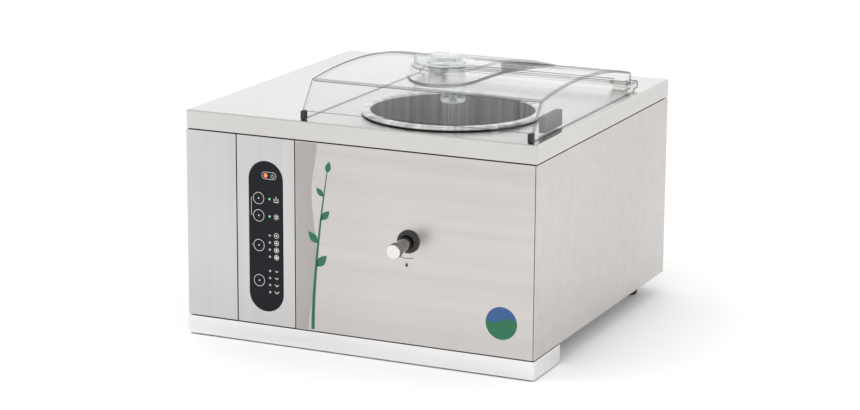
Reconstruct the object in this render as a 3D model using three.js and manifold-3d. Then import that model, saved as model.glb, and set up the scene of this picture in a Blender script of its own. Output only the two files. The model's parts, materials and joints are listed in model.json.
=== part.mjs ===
// A countertop batch ice cream machine: a brushed steel cabinet with a fixed bowl in its deck,
// a clear hinged lid, a belt-driven stirrer, a small refrigeration set and a drain spout.
// Millimetres, +Z up, front towards -Y. The cabinet is drawn about its own middle, and the whole
// assembly is then moved back so that the origin lies under the middle of its full depth,
// from the end of the drain plug to the face of the appliance inlet.
import * as THREE from "three";
import { mergeVertices } from "three/addons/utils/BufferGeometryUtils.js";
import Module from "manifold-3d";

const wasm = await Module();
wasm.setup();

// ---------- driving dimensions ----------
const CABINET = { width: 450, depth: 435 };
const SHEET = 1.5; // steel sheet
const GAP = 0.4; // air between pieces that would touch
const SEAM = 1.2; // visible joint between neighbouring panels
const FOLD = 10; // hem folded inwards along a panel's free edge
const PLINTH = { bottom: 1.5, top: 23.6, side: 80 };
const PANEL = { bottom: 24.8, top: 252.5 };
const PAN = { bottom: 25.2, floor: 27.2, top: 37, wall: 2 };
const DECK = { bottom: 254, top: 276 };
const X = CABINET.width / 2;
const Y = CABINET.depth / 2;

const SEAM_LEFT = -157.5; // middle of the joint between left panel and control fascia
const SEAM_RIGHT = -80; // middle of the joint between control fascia and front panel

// The collar stands up from the bowl's floor round the drive spindle, and the rim lies on the deck.
const BOWL = {
  x: 67, y: -96, inner: 97, wall: 1.2, floor: 162, under: 160.5,
  lip: 281.5, rim: 108, collar: 9, collarTop: 182,
};
// The drain leaves the bowl's floor at y and comes out through the front panel at frontZ.
const DRAIN = { y: -172, bend: 149, frontZ: 147.7, slope: 4, outer: 7.5, inner: 5.6, reach: 31 };
const LID = {
  left: -76, right: 216, front: -213, frontTop: -188, frontTopZ: 319,
  rear: 105, ledgeRear: 131, ledgeTop: 289, bottom: 276.6, wall: 3,
  archTop: 326, archY: -85, archRadius: 806, frontEdge: 287, lug: 5,
};
const TONGUE = {
  x: 70, y: -122, foot: 49, head: 41, top: 340, flare: 26, rear: 46, rearTop: 315, floor: 300,
};
const PORT_RADIUS = 23.5; // feed port in the top of the tongue
const HINGE = { y: 126, z: 284, radius: 5, pin: 2, width: 16, inset: 14 };
const KEYPAD = { x: -118.6, z: 132.3, width: 45, height: 182.6, thick: 2.4, proud: 0.6 };
const KEY = {
  x: -127.6, radius: 7.8, proud: 0.9,
  heights: { churn: 178.6, cooling: 157.6, programme: 121.5, storage: 78.4 },
};
const LAMP = {
  x: -113.4, radius: 1.5, heights: [178.7, 157.7, 134.5, 125.9, 117.3, 108.6, 91.2, 82.6, 74, 65.3],
};
const POWER_LAMP = { x: -118.2, z: 206.8, radius: 2.6 };
const SPINDLE = { radius: 6, bottom: 40, shoulder: 288, top: 300 };
const STIRRER = {
  outer: 13.5, inner: 9.6, socket: 6.5, bottom: 164, top: 291, reach: 91.5, bladeTop: 232, blade: 4,
};
const BELT = { z: 50, height: 9, thick: 2.5, large: 40, small: 12, motorY: 62 };
const BRIDGE = { bottom: 66, top: 69, left: 30, right: 104, front: -143, rear: 104 };
const COIL = { radius: 103.2, tube: 3, turns: 5, pitch: 17, bottom: 178 };
const JACKET = { half: 117, front: -214, rear: 22, bottom: 128, top: 272 };
const COMPRESSOR = { x: -132, y: -40, radius: 62, bottom: 40, top: 178 };
const FAN = { x: 62, z: 138, radius: 62, y: 158, blades: 5, pitch: 38 };
const CONDENSER = { width: 180, front: 178, rear: 206, bottom: 42, top: 236, fins: 9 };
const SWITCH = { x: -170, z: 112, width: 22, height: 30, depth: 22 };
const VENT = { slot: 5, pitch: 15 }; // height of an air slot and the step from one to the next
const PAN_TOP = PAN.floor + GAP; // everything that stands in the pan stands at this height
const INLET = { x: -170, z: 66, width: 28, height: 20, flange: 4, depth: 17 };
const FOOT = { x: 188, y: 182, radius: 15, tread: 13 };

// ---------- solids ----------
// A closed three.js geometry as a manifold solid, turned the right way out.
function solid(geometry) {
  const loose = geometry.index ? geometry.toNonIndexed() : geometry.clone();
  const bare = new THREE.BufferGeometry().setAttribute("position", loose.getAttribute("position"));
  const merged = mergeVertices(bare, 1e-3);
  const index = merged.index.array;
  const position = merged.getAttribute("position").array;
  const triVerts = [];
  let volume = 0;
  const corner = (i) => new THREE.Vector3().fromArray(position, 3 * i);
  for (let i = 0; i < index.length; i += 3) {
    const [a, b, c] = [index[i], index[i + 1], index[i + 2]];
    if (a === b || b === c || a === c) continue;
    triVerts.push(a, b, c);
    volume += corner(a).dot(corner(b).cross(corner(c)));
  }
  if (volume < 0) triVerts.reverse();
  const mesh = new wasm.Mesh({ numProp: 3, vertProperties: position, triVerts: new Uint32Array(triVerts) });
  return new wasm.Manifold(mesh);
}

function geometryOf(made) {
  const mesh = made.getMesh();
  const points = new Float32Array(mesh.numVert * 3);
  for (let i = 0; i < mesh.numVert; i++) {
    points.set(mesh.vertProperties.subarray(i * mesh.numProp, i * mesh.numProp + 3), i * 3);
  }
  const geometry = new THREE.BufferGeometry().setAttribute("position", new THREE.BufferAttribute(points, 3));
  geometry.setIndex(new THREE.BufferAttribute(mesh.triVerts, 1));
  geometry.computeVertexNormals();
  return geometry;
}

const join = (...solids) => solids.reduce((whole, next) => whole.add(next));
const cut = (whole, ...solids) => solids.reduce((left, next) => left.subtract(next), whole);

function box(x, y, z) {
  const geometry = new THREE.BoxGeometry(x[1] - x[0], y[1] - y[0], z[1] - z[0]);
  return solid(geometry.translate((x[0] + x[1]) / 2, (y[0] + y[1]) / 2, (z[0] + z[1]) / 2));
}

// A cylinder or cone along Z from z0 to z1.
function round(x, y, radius, z0, z1, sides = 24, topRadius = radius) {
  const geometry = new THREE.CylinderGeometry(topRadius, radius, z1 - z0, sides);
  return solid(geometry.rotateX(Math.PI / 2).translate(x, y, (z0 + z1) / 2));
}

// A cylinder along Y from y0 to y1.
function roundY(x, z, radius, y0, y1, sides = 24) {
  return solid(new THREE.CylinderGeometry(radius, radius, y1 - y0, sides).translate(x, (y0 + y1) / 2, z));
}

// A cylinder along X from x0 to x1.
function roundX(y, z, radius, x0, x1, sides = 16) {
  const geometry = new THREE.CylinderGeometry(radius, radius, x1 - x0, sides).rotateZ(Math.PI / 2);
  return solid(geometry.translate((x0 + x1) / 2, y, z));
}

// A profile of [radius, height] points turned about the vertical through x, y.
// A profile that starts off the axis is closed into a ring.
function turned(x, y, profile, sides) {
  const points = profile.map(([r, z]) => new THREE.Vector2(r, z));
  if (profile[0][0] > 0) points.push(points[0].clone());
  return solid(new THREE.LatheGeometry(points, sides).rotateX(Math.PI / 2).translate(x, y, 0));
}

// The same, turned about the line along -Y through x, z, with heights counted forwards from y.
function turnedForward(x, y, z, profile, sides) {
  const points = profile.map(([r, h]) => new THREE.Vector2(r, h));
  if (profile[0][0] > 0) points.push(points[0].clone());
  return solid(new THREE.LatheGeometry(points, sides).rotateX(Math.PI).translate(x, y, z));
}

function outline(points) {
  return new THREE.Shape(points.map(([a, b]) => new THREE.Vector2(a, b)));
}

// A plan outline raised from z0 to z1.
function raised(shape, z0, z1, curveSegments = 8) {
  const options = { depth: z1 - z0, bevelEnabled: false, curveSegments };
  return solid(new THREE.ExtrudeGeometry(shape, options).translate(0, 0, z0));
}

// A side view, drawn as [y, z] points, carried across from x0 to x1.
function across(points, x0, x1) {
  const geometry = new THREE.ExtrudeGeometry(outline(points), { depth: x1 - x0, bevelEnabled: false });
  const turn = new THREE.Matrix4().makeBasis(
    new THREE.Vector3(0, 1, 0), new THREE.Vector3(0, 0, 1), new THREE.Vector3(1, 0, 0));
  return solid(geometry.applyMatrix4(turn).translate(x0, 0, 0));
}

// A front view, drawn as [x, z] points, carried back from y0 to y1.
function backwards(shape, y0, y1, curveSegments = 10) {
  const options = { depth: y1 - y0, bevelEnabled: false, curveSegments };
  return solid(new THREE.ExtrudeGeometry(shape, options).rotateX(Math.PI / 2).translate(0, y1, 0));
}

// A wall of one thickness along a plan path, to the left of the direction of travel.
function strip(path, thickness) {
  const inner = path.map(([x, y], i) => {
    const before = path[Math.max(i - 1, 0)];
    const after = path[Math.min(i + 1, path.length - 1)];
    const normal = ([ax, ay], [bx, by]) => {
      const length = Math.hypot(bx - ax, by - ay) || 1;
      return [-(by - ay) / length, (bx - ax) / length];
    };
    const n0 = i > 0 ? normal(before, [x, y]) : normal([x, y], after);
    const n1 = i < path.length - 1 ? normal([x, y], after) : n0;
    const scale = thickness / (1 + n0[0] * n1[0] + n0[1] * n1[1]);
    return [x + (n0[0] + n1[0]) * scale, y + (n0[1] + n1[1]) * scale];
  });
  return outline([...path, ...inner.reverse()]);
}

// A round tube or rod along a smooth curve through points.
function alongCurve(points, radius, steps, sides) {
  const ring = [...Array(sides).keys()].map((i) => {
    const turn = (2 * Math.PI * i) / sides;
    return [radius * Math.cos(turn), radius * Math.sin(turn)];
  });
  const path = new THREE.CatmullRomCurve3(points.map((p) => new THREE.Vector3(...p)), false, "centripetal");
  return solid(new THREE.ExtrudeGeometry(outline(ring), { extrudePath: path, steps, bevelEnabled: false }));
}

// A solid between two like outlines, one at z0 and one at z1.
function tapered(lower, z0, upper, z1) {
  const n = lower.length;
  const points = [...lower.map(([x, y]) => [x, y, z0]), ...upper.map(([x, y]) => [x, y, z1])].flat();
  const faces = THREE.ShapeUtils.triangulateShape(lower.map(([x, y]) => new THREE.Vector2(x, y)), []);
  const index = [...faces.map(([a, b, c]) => [c, b, a]), ...faces.map(([a, b, c]) => [a + n, b + n, c + n])];
  for (let i = 0; i < n; i++) {
    const j = (i + 1) % n;
    index.push([i, j, j + n], [i, j + n, i + n]);
  }
  const geometry = new THREE.BufferGeometry();
  geometry.setAttribute("position", new THREE.Float32BufferAttribute(points, 3));
  return solid(geometry.setIndex(index.flat()));
}

// ---------- finishes ----------
const finish = (color, roughness, metalness, extra = {}) =>
  new THREE.MeshStandardMaterial({ color, roughness, metalness, ...extra });
const brushedSteel = finish(0xc9c6c3, 0.38, 1);
const bowlSteel = finish(0xb9b9b9, 0.25, 1);
const plainSteel = finish(0x9fa2a6, 0.5, 1);
const clearPlastic = finish(0xf2f5f4, 0.05, 0, { transparent: true, opacity: 0.35 });
const keypadFilm = finish(0x25262d, 0.45, 0);
const blackRubber = finish(0x141416, 0.7, 0);
const greyPlastic = finish(0x6a6c6e, 0.55, 0);
const whitePlastic = finish(0xe4e2da, 0.5, 0);
const copper = finish(0xb87048, 0.35, 1);
const foam = finish(0x2a2a2c, 0.95, 0);
const blackEnamel = finish(0x1b1c1e, 0.35, 0.2);
const castAluminium = finish(0xa8abad, 0.55, 1);
const circuitBoard = finish(0x1f5a35, 0.5, 0);

const machine = new THREE.Group();

function part(name, made, material) {
  const mesh = new THREE.Mesh(geometryOf(made), material);
  mesh.name = name;
  machine.add(mesh);
  return mesh;
}

// ---------- cabinet ----------
// The deck is a shallow tray turned upside down, with the bowl's hole in it.
function deck() {
  const tray = cut(
    box([-X, X], [-Y, Y], [DECK.bottom, DECK.top]),
    box([-X + SHEET, X - SHEET], [-Y + SHEET, Y - SHEET], [DECK.bottom - 1, DECK.top - SHEET]),
  );
  const hole = round(BOWL.x, BOWL.y, BOWL.inner + BOWL.wall + 1.3, DECK.top - 10, DECK.top + 10, 40);
  part("deck", cut(tray, hole), brushedSteel);
}

// Slots cut through a side panel, in columns along Y.
function sideVents(x) {
  const [columns, rows, first, lowest, length, step] = [2, 8, 30, 56, 64, 84];
  const slots = [];
  for (let column = 0; column < columns; column++) {
    for (let row = 0; row < rows; row++) {
      const y = first + column * step;
      const z = lowest + row * VENT.pitch;
      slots.push(box([x - 4, x + 4], [y, y + length], [z, z + VENT.slot]));
    }
  }
  return slots;
}

function leftPanel() {
  const edge = SEAM_LEFT - SEAM / 2;
  const path = [[-X, Y - SHEET - GAP], [-X, -Y], [edge, -Y], [edge, -Y + FOLD]];
  const sheet = raised(strip(path, SHEET), PANEL.bottom, PANEL.top);
  part("left_panel", cut(sheet, ...sideVents(-X)), brushedSteel);
}

function rightPanel() {
  const path = [[X, -Y], [X, Y - SHEET - GAP]];
  part("right_panel", raised(strip(path, SHEET), PANEL.bottom, PANEL.top), brushedSteel);
}

function frontPanel() {
  const left = SEAM_RIGHT + SEAM / 2;
  const right = X - SHEET - GAP;
  const path = [[left, -Y + FOLD], [left, -Y], [right, -Y], [right, -Y + FOLD]];
  const sheet = raised(strip(path, SHEET), PANEL.bottom, PANEL.top);
  part("front_panel", cut(sheet, roundY(BOWL.x, DRAIN.frontZ, 11, -Y - 5, -Y + 5)), brushedSteel);
}

function stadium(x, z, width, height, grow = 0) {
  const radius = width / 2 + grow;
  const reach = (height - width) / 2;
  const shape = new THREE.Shape();
  shape.absarc(x, z + reach, radius, 0, Math.PI, false);
  shape.absarc(x, z - reach, radius, Math.PI, 2 * Math.PI, false);
  return shape.closePath();
}

function controlFascia() {
  const [left, right] = [SEAM_LEFT + SEAM / 2, SEAM_RIGHT - SEAM / 2];
  const path = [[left, -Y + FOLD], [left, -Y], [right, -Y], [right, -Y + FOLD]];
  const sheet = raised(strip(path, SHEET), PANEL.bottom, PANEL.top);
  const window = backwards(stadium(KEYPAD.x, KEYPAD.z, KEYPAD.width, KEYPAD.height), -Y - 5, -Y + 5);
  part("control_fascia", cut(sheet, window), brushedSteel);
}

// The rear panel has two columns of air outlet slots, and holes for the mains switch and the inlet.
function rearPanel() {
  const right = X - SHEET - GAP;
  const path = [[right, Y - FOLD], [right, Y], [-right, Y], [-right, Y - FOLD]];
  const [rows, lowest, columns] = [11, 54, [[-18, 56], [68, 142]]];
  const slots = [];
  for (let row = 0; row < rows; row++) {
    const z = lowest + row * VENT.pitch;
    slots.push(...columns.map((span) => box(span, [Y - 4, Y + 4], [z, z + VENT.slot])));
  }
  const switchHole = box(
    [SWITCH.x - SWITCH.width / 2 + 2, SWITCH.x + SWITCH.width / 2 - 2], [Y - 4, Y + 4],
    [SWITCH.z - SWITCH.height / 2 + 2, SWITCH.z + SWITCH.height / 2 - 2]);
  const inletHole = box(
    [INLET.x - INLET.width / 2 - GAP, INLET.x + INLET.width / 2 + GAP], [Y - 4, Y + 4],
    [INLET.z - INLET.height / 2 - GAP, INLET.z + INLET.height / 2 + GAP]);
  const sheet = raised(strip(path, SHEET), PANEL.bottom, PANEL.top);
  part("rear_panel", cut(sheet, ...slots, switchHole, inletHole), brushedSteel);
}

function basePan() {
  const { bottom, floor, top, wall } = PAN;
  const [x, y] = [X - SHEET - 2, Y - FOLD - 1.5];
  const tray = cut(
    box([-x, x], [-y, y], [bottom, top]),
    box([-x + wall, x - wall], [-y + wall, y - wall], [floor, top + 1]),
  );
  part("base_pan", tray, plainSteel);
}

// The plinth skirts the front and turns a short way along both sides, with a flange along its top edge.
function plinth() {
  const back = -Y + PLINTH.side;
  const path = [[-X, back], [-X, -Y], [X, -Y], [X, back]];
  const skirt = raised(strip(path, SHEET), PLINTH.bottom, PLINTH.top);
  const flange = raised(strip(path, 12), PLINTH.top - SHEET, PLINTH.top);
  part("plinth", join(skirt, flange), brushedSteel);
}

function feet() {
  const corners = { front_left: [-1, -1], front_right: [1, -1], rear_left: [-1, 1], rear_right: [1, 1] };
  for (const [corner, [sx, sy]] of Object.entries(corners)) {
    const pad = round(sx * FOOT.x, sy * FOOT.y, FOOT.tread, 0, PAN.bottom - GAP, 20, FOOT.radius);
    part(`foot_${corner}`, pad, blackRubber);
  }
}

// ---------- controls ----------
function keypad() {
  const { x, z: middle, width, height, thick, proud } = KEYPAD;
  const plate = backwards(stadium(x, middle, width, height, -GAP), -Y - proud, -Y - proud + thick);
  const hole = (x0, z, radius, sides) => roundY(x0, z, radius + GAP, -Y - 5, -Y + 5, sides);
  const holes = Object.values(KEY.heights).map((z) => hole(KEY.x, z, KEY.radius, 20));
  holes.push(...LAMP.heights.map((z) => hole(LAMP.x, z, LAMP.radius, 8)));
  holes.push(hole(POWER_LAMP.x, POWER_LAMP.z, POWER_LAMP.radius, 12));
  part("keypad", cut(plate, ...holes), keypadFilm);
}

function keys() {
  for (const [use, z] of Object.entries(KEY.heights)) {
    const cap = roundY(KEY.x, z, KEY.radius, -Y - KEY.proud, -Y + 1.6, 20);
    const stem = roundY(KEY.x, z, 2, -Y + 1, -Y + 5, 8);
    part(`${use}_key`, join(cap, stem), keypadFilm);
  }
}

// The board stands behind the keypad; its lamps reach forwards into the keypad's windows.
function controlBoard() {
  const board = box([KEYPAD.x - 21, KEYPAD.x + 21], [-Y + 7.5, -Y + 9.5], [KEYPAD.z - 86, KEYPAD.z + 86]);
  const lamps = LAMP.heights.map((z) => roundY(LAMP.x, z, LAMP.radius, -Y - 0.5, -Y + 8, 8));
  const power = roundY(POWER_LAMP.x, POWER_LAMP.z, POWER_LAMP.radius, -Y - 0.5, -Y + 8, 12);
  part("control_board", join(board, power, ...lamps), circuitBoard);
}

// ---------- bowl, cooling jacket and drain ----------
function bowl() {
  const { inner, wall, floor, under, lip, rim, collar, collarTop } = BOWL;
  const profile = [
    [collar - 1.5, under], [collar - 1.5, collarTop], [collar, collarTop], [collar, floor],
    [inner - 12, floor], [inner - 3.5, floor + 3.5], [inner, floor + 12],
    [inner, lip - 1.5], [inner + 1.5, lip], [inner + 4, lip], [rim - 1, lip - 2], [rim, lip - 4],
    [rim - 1.3, lip - 4], [inner + 4, lip - 1.6], [inner + wall + 0.6, lip - 1.8], [inner + wall, lip - 2.6],
    [inner + wall, floor + 12], [inner - 2.6, floor + 2], [inner - 12, under],
  ];
  const drainHole = round(BOWL.x, DRAIN.y, DRAIN.inner, floor - 5, floor + 5, 16);
  part("bowl", cut(turned(BOWL.x, BOWL.y, profile, 40), drainHole), bowlSteel);
}

function bowlGasket() {
  const [inside, outside] = [BOWL.inner + 3.5, BOWL.rim - 2];
  const [low, high] = [DECK.top + 0.3, DECK.top + 1.1];
  const ring = [[inside, low], [outside, low], [outside, high], [inside, high]];
  part("bowl_gasket", turned(BOWL.x, BOWL.y, ring, 40), blackRubber);
}

function evaporatorCoil() {
  const radius = COIL.radius;
  const stepsPerTurn = 20;
  const points = [];
  for (let i = 0; i <= COIL.turns * stepsPerTurn; i++) {
    const turn = (2 * Math.PI * i) / stepsPerTurn;
    points.push([
      BOWL.x + radius * Math.cos(turn), BOWL.y + radius * Math.sin(turn),
      COIL.bottom + (COIL.pitch * i) / stepsPerTurn,
    ]);
  }
  part("evaporator_coil", alongCurve(points, COIL.tube, COIL.turns * stepsPerTurn, 6), copper);
}

function insulationJacket() {
  const { half, front, rear, bottom, top } = JACKET;
  const cavity = COIL.radius + COIL.tube + 2;
  const block = box([BOWL.x - half, BOWL.x + half], [front, rear], [bottom, top]);
  part("insulation_jacket", cut(
    block,
    round(BOWL.x, BOWL.y, cavity, bottom + 24, top + 5, 40),
    round(BOWL.x, BOWL.y, 16, bottom - 5, top, 20),
    box([BOWL.x - 9, BOWL.x + 9], [front - 5, DRAIN.y + 9], [bottom - 5, bottom + 30]),
    roundY(BOWL.x, DRAIN.frontZ, 14, front - 5, -Y + 9),
  ), foam);
}

// Everything on the drain's axis is drawn straight along -Y and then tipped down by the drain's slope.
function tipped(made) {
  const pivot = [BOWL.x, -Y, DRAIN.frontZ];
  return made.translate(-pivot[0], -pivot[1], -pivot[2]).rotate([DRAIN.slope, 0, 0]).translate(...pivot);
}

function drainPipe() {
  const { y, bend, frontZ, outer, inner, reach } = DRAIN;
  const run = (radius, end) => tipped(roundY(BOWL.x, frontZ, radius, -Y - end, y + radius, 20));
  const rise = (radius, top) => round(BOWL.x, y, radius, bend, top, 20);
  const outside = join(run(outer, reach), rise(outer, BOWL.under - GAP));
  part("drain_pipe", cut(outside, run(inner, reach + 5), rise(inner, BOWL.floor)), bowlSteel);
}

function drainGrommet() {
  const profile = [[7, -6], [12.5, -6], [12.5, -SHEET - GAP], [10.4, -SHEET - GAP], [10.4, GAP],
    [13.6, GAP], [13.6, 2.6], [12, 4.6], [9.4, 5], [7, 4]];
  const ring = turnedForward(BOWL.x, -Y, DRAIN.frontZ, profile, 28);
  const bore = tipped(roundY(BOWL.x, DRAIN.frontZ, DRAIN.outer + GAP, -Y - 20, -Y + 20, 20));
  part("drain_grommet", cut(ring, bore), blackRubber);
}

// The plug's head has two grooves for its rings, and its stem fills the pipe.
function drainPlug() {
  const start = DRAIN.reach + GAP;
  const groove = 6.6;
  const profile = [
    [0, start - 46], [4.4, start - 46], [5.2, start - 44], [5.2, start], [8, start], [8, start + 1.6],
    [groove, start + 1.6], [groove, start + 4], [8.2, start + 4], [8.2, start + 5.6], [groove, start + 5.6],
    [groove, start + 8], [8.4, start + 8], [8.4, start + 10], [7.8, start + 10.6], [0, start + 10.6],
  ];
  part("drain_plug", tipped(turnedForward(BOWL.x, -Y, DRAIN.frontZ, profile, 20)), bowlSteel);
  const bore = groove + 0.3;
  for (const [name, from] of [["plug_ring_inner", start + 1.9], ["plug_ring_outer", start + 5.9]]) {
    const ring = [[bore, from], [8.2, from], [8.7, from + 0.9], [8.2, from + 1.8], [bore, from + 1.8]];
    part(name, tipped(turnedForward(BOWL.x, -Y, DRAIN.frontZ, ring, 20)), blackRubber);
  }
}

// ---------- lid ----------
// The arch's height over the deck at y, drawn as a circle's arc.
const archAt = (y) => LID.archTop - LID.archRadius + Math.sqrt(LID.archRadius ** 2 - (y - LID.archY) ** 2);

// Side view of the dome with its walls taken in by inset.
function domeSide(inset) {
  const slant = (LID.frontTop - LID.front) / (LID.frontTopZ - LID.bottom);
  const steps = 8;
  const arch = [...Array(steps + 1).keys()].map((i) => {
    const [from, to] = [LID.frontTop + inset, LID.rear - 5 - inset];
    const y = from + ((to - from) * i) / steps;
    return [y, archAt(y) - inset];
  });
  const foot = LID.front + inset * 1.1; // the front leans, so its wall is wider along y than it is thick
  const open = LID.bottom - (inset ? 5 : 0); // the inside runs out through the open bottom
  return [
    [foot, open], [foot + slant * (LID.frontTopZ - LID.bottom - inset), LID.frontTopZ - inset],
    ...arch,
    [LID.rear - inset, LID.ledgeTop + 3], [LID.rear - inset, LID.ledgeTop - inset],
    [LID.ledgeRear - 3, LID.ledgeTop - inset], [LID.ledgeRear - inset, LID.ledgeTop - 3 - inset * 0.4],
    [LID.ledgeRear - inset, open],
  ];
}

// Plan of the raised tongue round the feed port: a round nose with sides that flare towards the rear.
function tonguePlan(radius) {
  const { x, y, flare, rear } = TONGUE;
  const points = [];
  const arcSteps = 12;
  for (let i = 0; i <= arcSteps; i++) {
    const turn = Math.PI + (Math.PI * i) / arcSteps;
    points.push([x + radius * Math.cos(turn), y + radius * Math.sin(turn)]);
  }
  return [...points, [x + radius + flare, rear], [x - radius - flare, rear]];
}

// The tongue is level round the port and falls behind it until it meets the arch.
function tongue(inset) {
  const { x, y: nose, foot, head, top, rear, rearTop, floor } = TONGUE;
  const body = tapered(tonguePlan(foot - inset), floor, tonguePlan(head - inset), top + 4 - inset);
  const flatEnd = nose + head;
  const steps = 6;
  const fall = [...Array(steps + 1).keys()].map((i) => {
    const share = i / steps;
    const y = flatEnd + (rear - flatEnd) * share;
    return [y, top - (top - rearTop) * (0.35 * share + 0.65 * share * share) - inset];
  });
  const side = [[nose - 60, floor - 5], [nose - 60, top - inset], ...fall, [rear, floor - 5]];
  return body.intersect(across(side, x - 90, x + 90));
}

const hingePlaces = () => ({ left: LID.left + HINGE.inset, right: LID.right - HINGE.inset - HINGE.width });

function lid() {
  const { left, right, wall, lug, bottom, ledgeTop, ledgeRear } = LID;
  let shell = cut(
    join(across(domeSide(0), left, right), tongue(0)),
    join(across(domeSide(wall), left + wall, right - wall), tongue(wall)),
  );
  const frontGap = box([left - 5, right + 5], [LID.front - 20, LID.front + 10], [bottom - 5, LID.frontEdge]);
  const heel = box([left - 5, right + 5], [HINGE.y - 8, ledgeRear + 5], [bottom - 5, HINGE.z - 4.5]);
  const port = round(TONGUE.x, TONGUE.y, PORT_RADIUS, TONGUE.top - 12, TONGUE.top + 5, 28);
  shell = cut(shell, frontGap, heel, port);
  const play = 0.8; // beside each bracket
  for (const x of Object.values(hingePlaces())) {
    const [near, far] = [x - play, x + HINGE.width + play];
    shell = cut(shell, box([near, far], [LID.rear + 8, ledgeRear + 5], [bottom - 5, ledgeTop + 5]));
    for (const from of [near - lug, far]) {
      const web = box([from, from + lug], [HINGE.y - HINGE.radius, ledgeRear - 1], [HINGE.z, ledgeTop - 1]);
      shell = join(shell, roundX(HINGE.y, HINGE.z, HINGE.radius, from, from + lug), web);
    }
    shell = cut(shell, roundX(HINGE.y, HINGE.z, HINGE.pin + GAP, x - lug - 4, x + HINGE.width + lug + 4, 12));
  }
  part("lid", shell, clearPlastic);
}

// Brackets on the deck hold the lid's pins.
function hinges() {
  for (const [side, x] of Object.entries(hingePlaces())) {
    const { y, z, radius, width } = HINGE;
    const foot = DECK.top + 0.3;
    const post = join(
      roundX(y, z, radius - 0.2, x, x + width),
      box([x, x + width], [y - radius + 0.2, y + radius - 0.2], [foot, z]),
      box([x, x + width], [y - 10, y + 16], [foot, foot + 2]),
    );
    const bore = roundX(y, z, HINGE.pin + 0.3, x - 5, x + width + 5, 12);
    part(`hinge_bracket_${side}`, cut(post, bore), greyPlastic);
    part(`hinge_pin_${side}`, roundX(y, z, HINGE.pin, x - 5.4, x + width + 5.4, 12), plainSteel);
  }
}

// The safety magnet sits against the lid's right wall, over the sensor under the deck.
function safetyMagnet() {
  const wall = LID.right - LID.wall - GAP;
  const { top } = DECK;
  part("lid_magnet", box([wall - 8, wall], [-165, -113], [top + 2.4, top + 21]), greyPlastic);
  const sensor = box([wall - 16, wall - 2], [-158, -120], [top - 14, top - SHEET - GAP]);
  part("lid_sensor", sensor, blackRubber);
}

// Two pads under the lid's front corners.
function lidPads() {
  const [y, z] = [[LID.front + 2, LID.front + 10 - GAP], [DECK.top + 0.3, LID.frontEdge - GAP]];
  const padBox = (x0, x1) => box([x0, x1], y, z);
  part("lid_pad_left", padBox(LID.left + 0.5, LID.left + 6), blackRubber);
  part("lid_pad_right", padBox(LID.right - 6, LID.right - 0.5), blackRubber);
}

// The feed cap is a hollow plug with a flange, a raised crown and a small knob.
function feedCap() {
  const seat = TONGUE.top + 1.4;
  const profile = [
    [0, seat + 14.5], [3.2, seat + 14.5], [3.6, seat + 13.8], [3, seat + 10.6], [17.6, seat + 10.6],
    [18.8, seat + 9.4], [18.8, seat + 2.6], [33, seat + 2.2], [34, seat + 1.2], [34, seat], [22.4, seat],
    [22.4, seat - 21], [20.4, seat - 21], [20.4, seat + 0.4], [17, seat + 2.4], [17, seat + 8.4],
    [0, seat + 8.4],
  ];
  part("feed_cap", turned(TONGUE.x, TONGUE.y, profile, 28), clearPlastic);
  const [low, high] = [TONGUE.top + 0.3, seat - 0.3];
  const ring = [[23, low], [31, low], [31, high], [23, high]];
  part("feed_cap_seal", turned(TONGUE.x, TONGUE.y, ring, 28), whitePlastic);
}

// ---------- stirrer and its drive ----------
// A tube over the spindle carries two bowed blades, each with a window cut through it.
function stirrer() {
  const { outer, inner, socket, bottom, top, reach, bladeTop, blade } = STIRRER;
  const profile = [
    [inner, bottom], [outer, bottom], [outer, top], [socket, top], [socket, top - 9], [inner, top - 9],
  ];
  const tube = turned(0, 0, profile, 24);
  const arm = (turn) => {
    const curve = new THREE.QuadraticBezierCurve(
      new THREE.Vector2(0, outer - 2), new THREE.Vector2(26, reach * 0.5), new THREE.Vector2(6, reach));
    const spine = curve.getPoints(8).map((p) => [p.x, p.y]);
    const scraper = raised(strip(spine, blade), bottom + 1, bladeTop);
    const window = box([-20, 40], [30, reach - 14], [bottom + 16, bladeTop - 14]);
    return cut(scraper, window).rotate([0, 0, turn]);
  };
  part("stirrer", join(tube, arm(0), arm(180)).translate(BOWL.x, BOWL.y, 0), bowlSteel);
}

// A blind nut over the end of the spindle holds the stirrer down.
function stirrerNut() {
  const base = STIRRER.top + GAP;
  const profile = [
    [0, base + 14], [12.8, base + 14], [14.2, base + 12.5], [14.2, base + 3.6], [15, base + 3],
    [15.4, base + 1.4], [15, base], [4.6, base], [4.6, base + 10.5], [0, base + 10.5],
  ];
  part("stirrer_nut", turned(BOWL.x, BOWL.y, profile, 24), clearPlastic);
}

function driveSpindle() {
  const { radius, bottom, shoulder, top } = SPINDLE;
  const profile = [[0, bottom], [radius, bottom], [radius, shoulder], [4.2, shoulder], [4.2, top], [0, top]];
  part("drive_spindle", turned(BOWL.x, BOWL.y, profile, 20), plainSteel);
}

function spindleHousing() {
  const [low, high] = [BRIDGE.top + GAP, BOWL.under - 1];
  const bore = SPINDLE.radius + 0.35;
  const profile = [[bore, low], [26, low], [26, low + 6], [14, low + 8], [14, high], [bore, high]];
  part("spindle_housing", turned(BOWL.x, BOWL.y, profile, 24), castAluminium);
}

// A flanged belt pulley with a bore for its shaft.
function pulley(y, radius, bore) {
  const { z, height } = BELT;
  const [low, high] = [z - height / 2 - 2.5, z + height / 2 + 2.5];
  const [flange, edge] = [radius + 3, 1.8];
  const profile = [
    [bore, low], [flange, low], [flange, low + edge], [radius, low + edge],
    [radius, high - edge], [flange, high - edge], [flange, high], [bore, high],
  ];
  return turned(BOWL.x, y, profile, 32);
}

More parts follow.
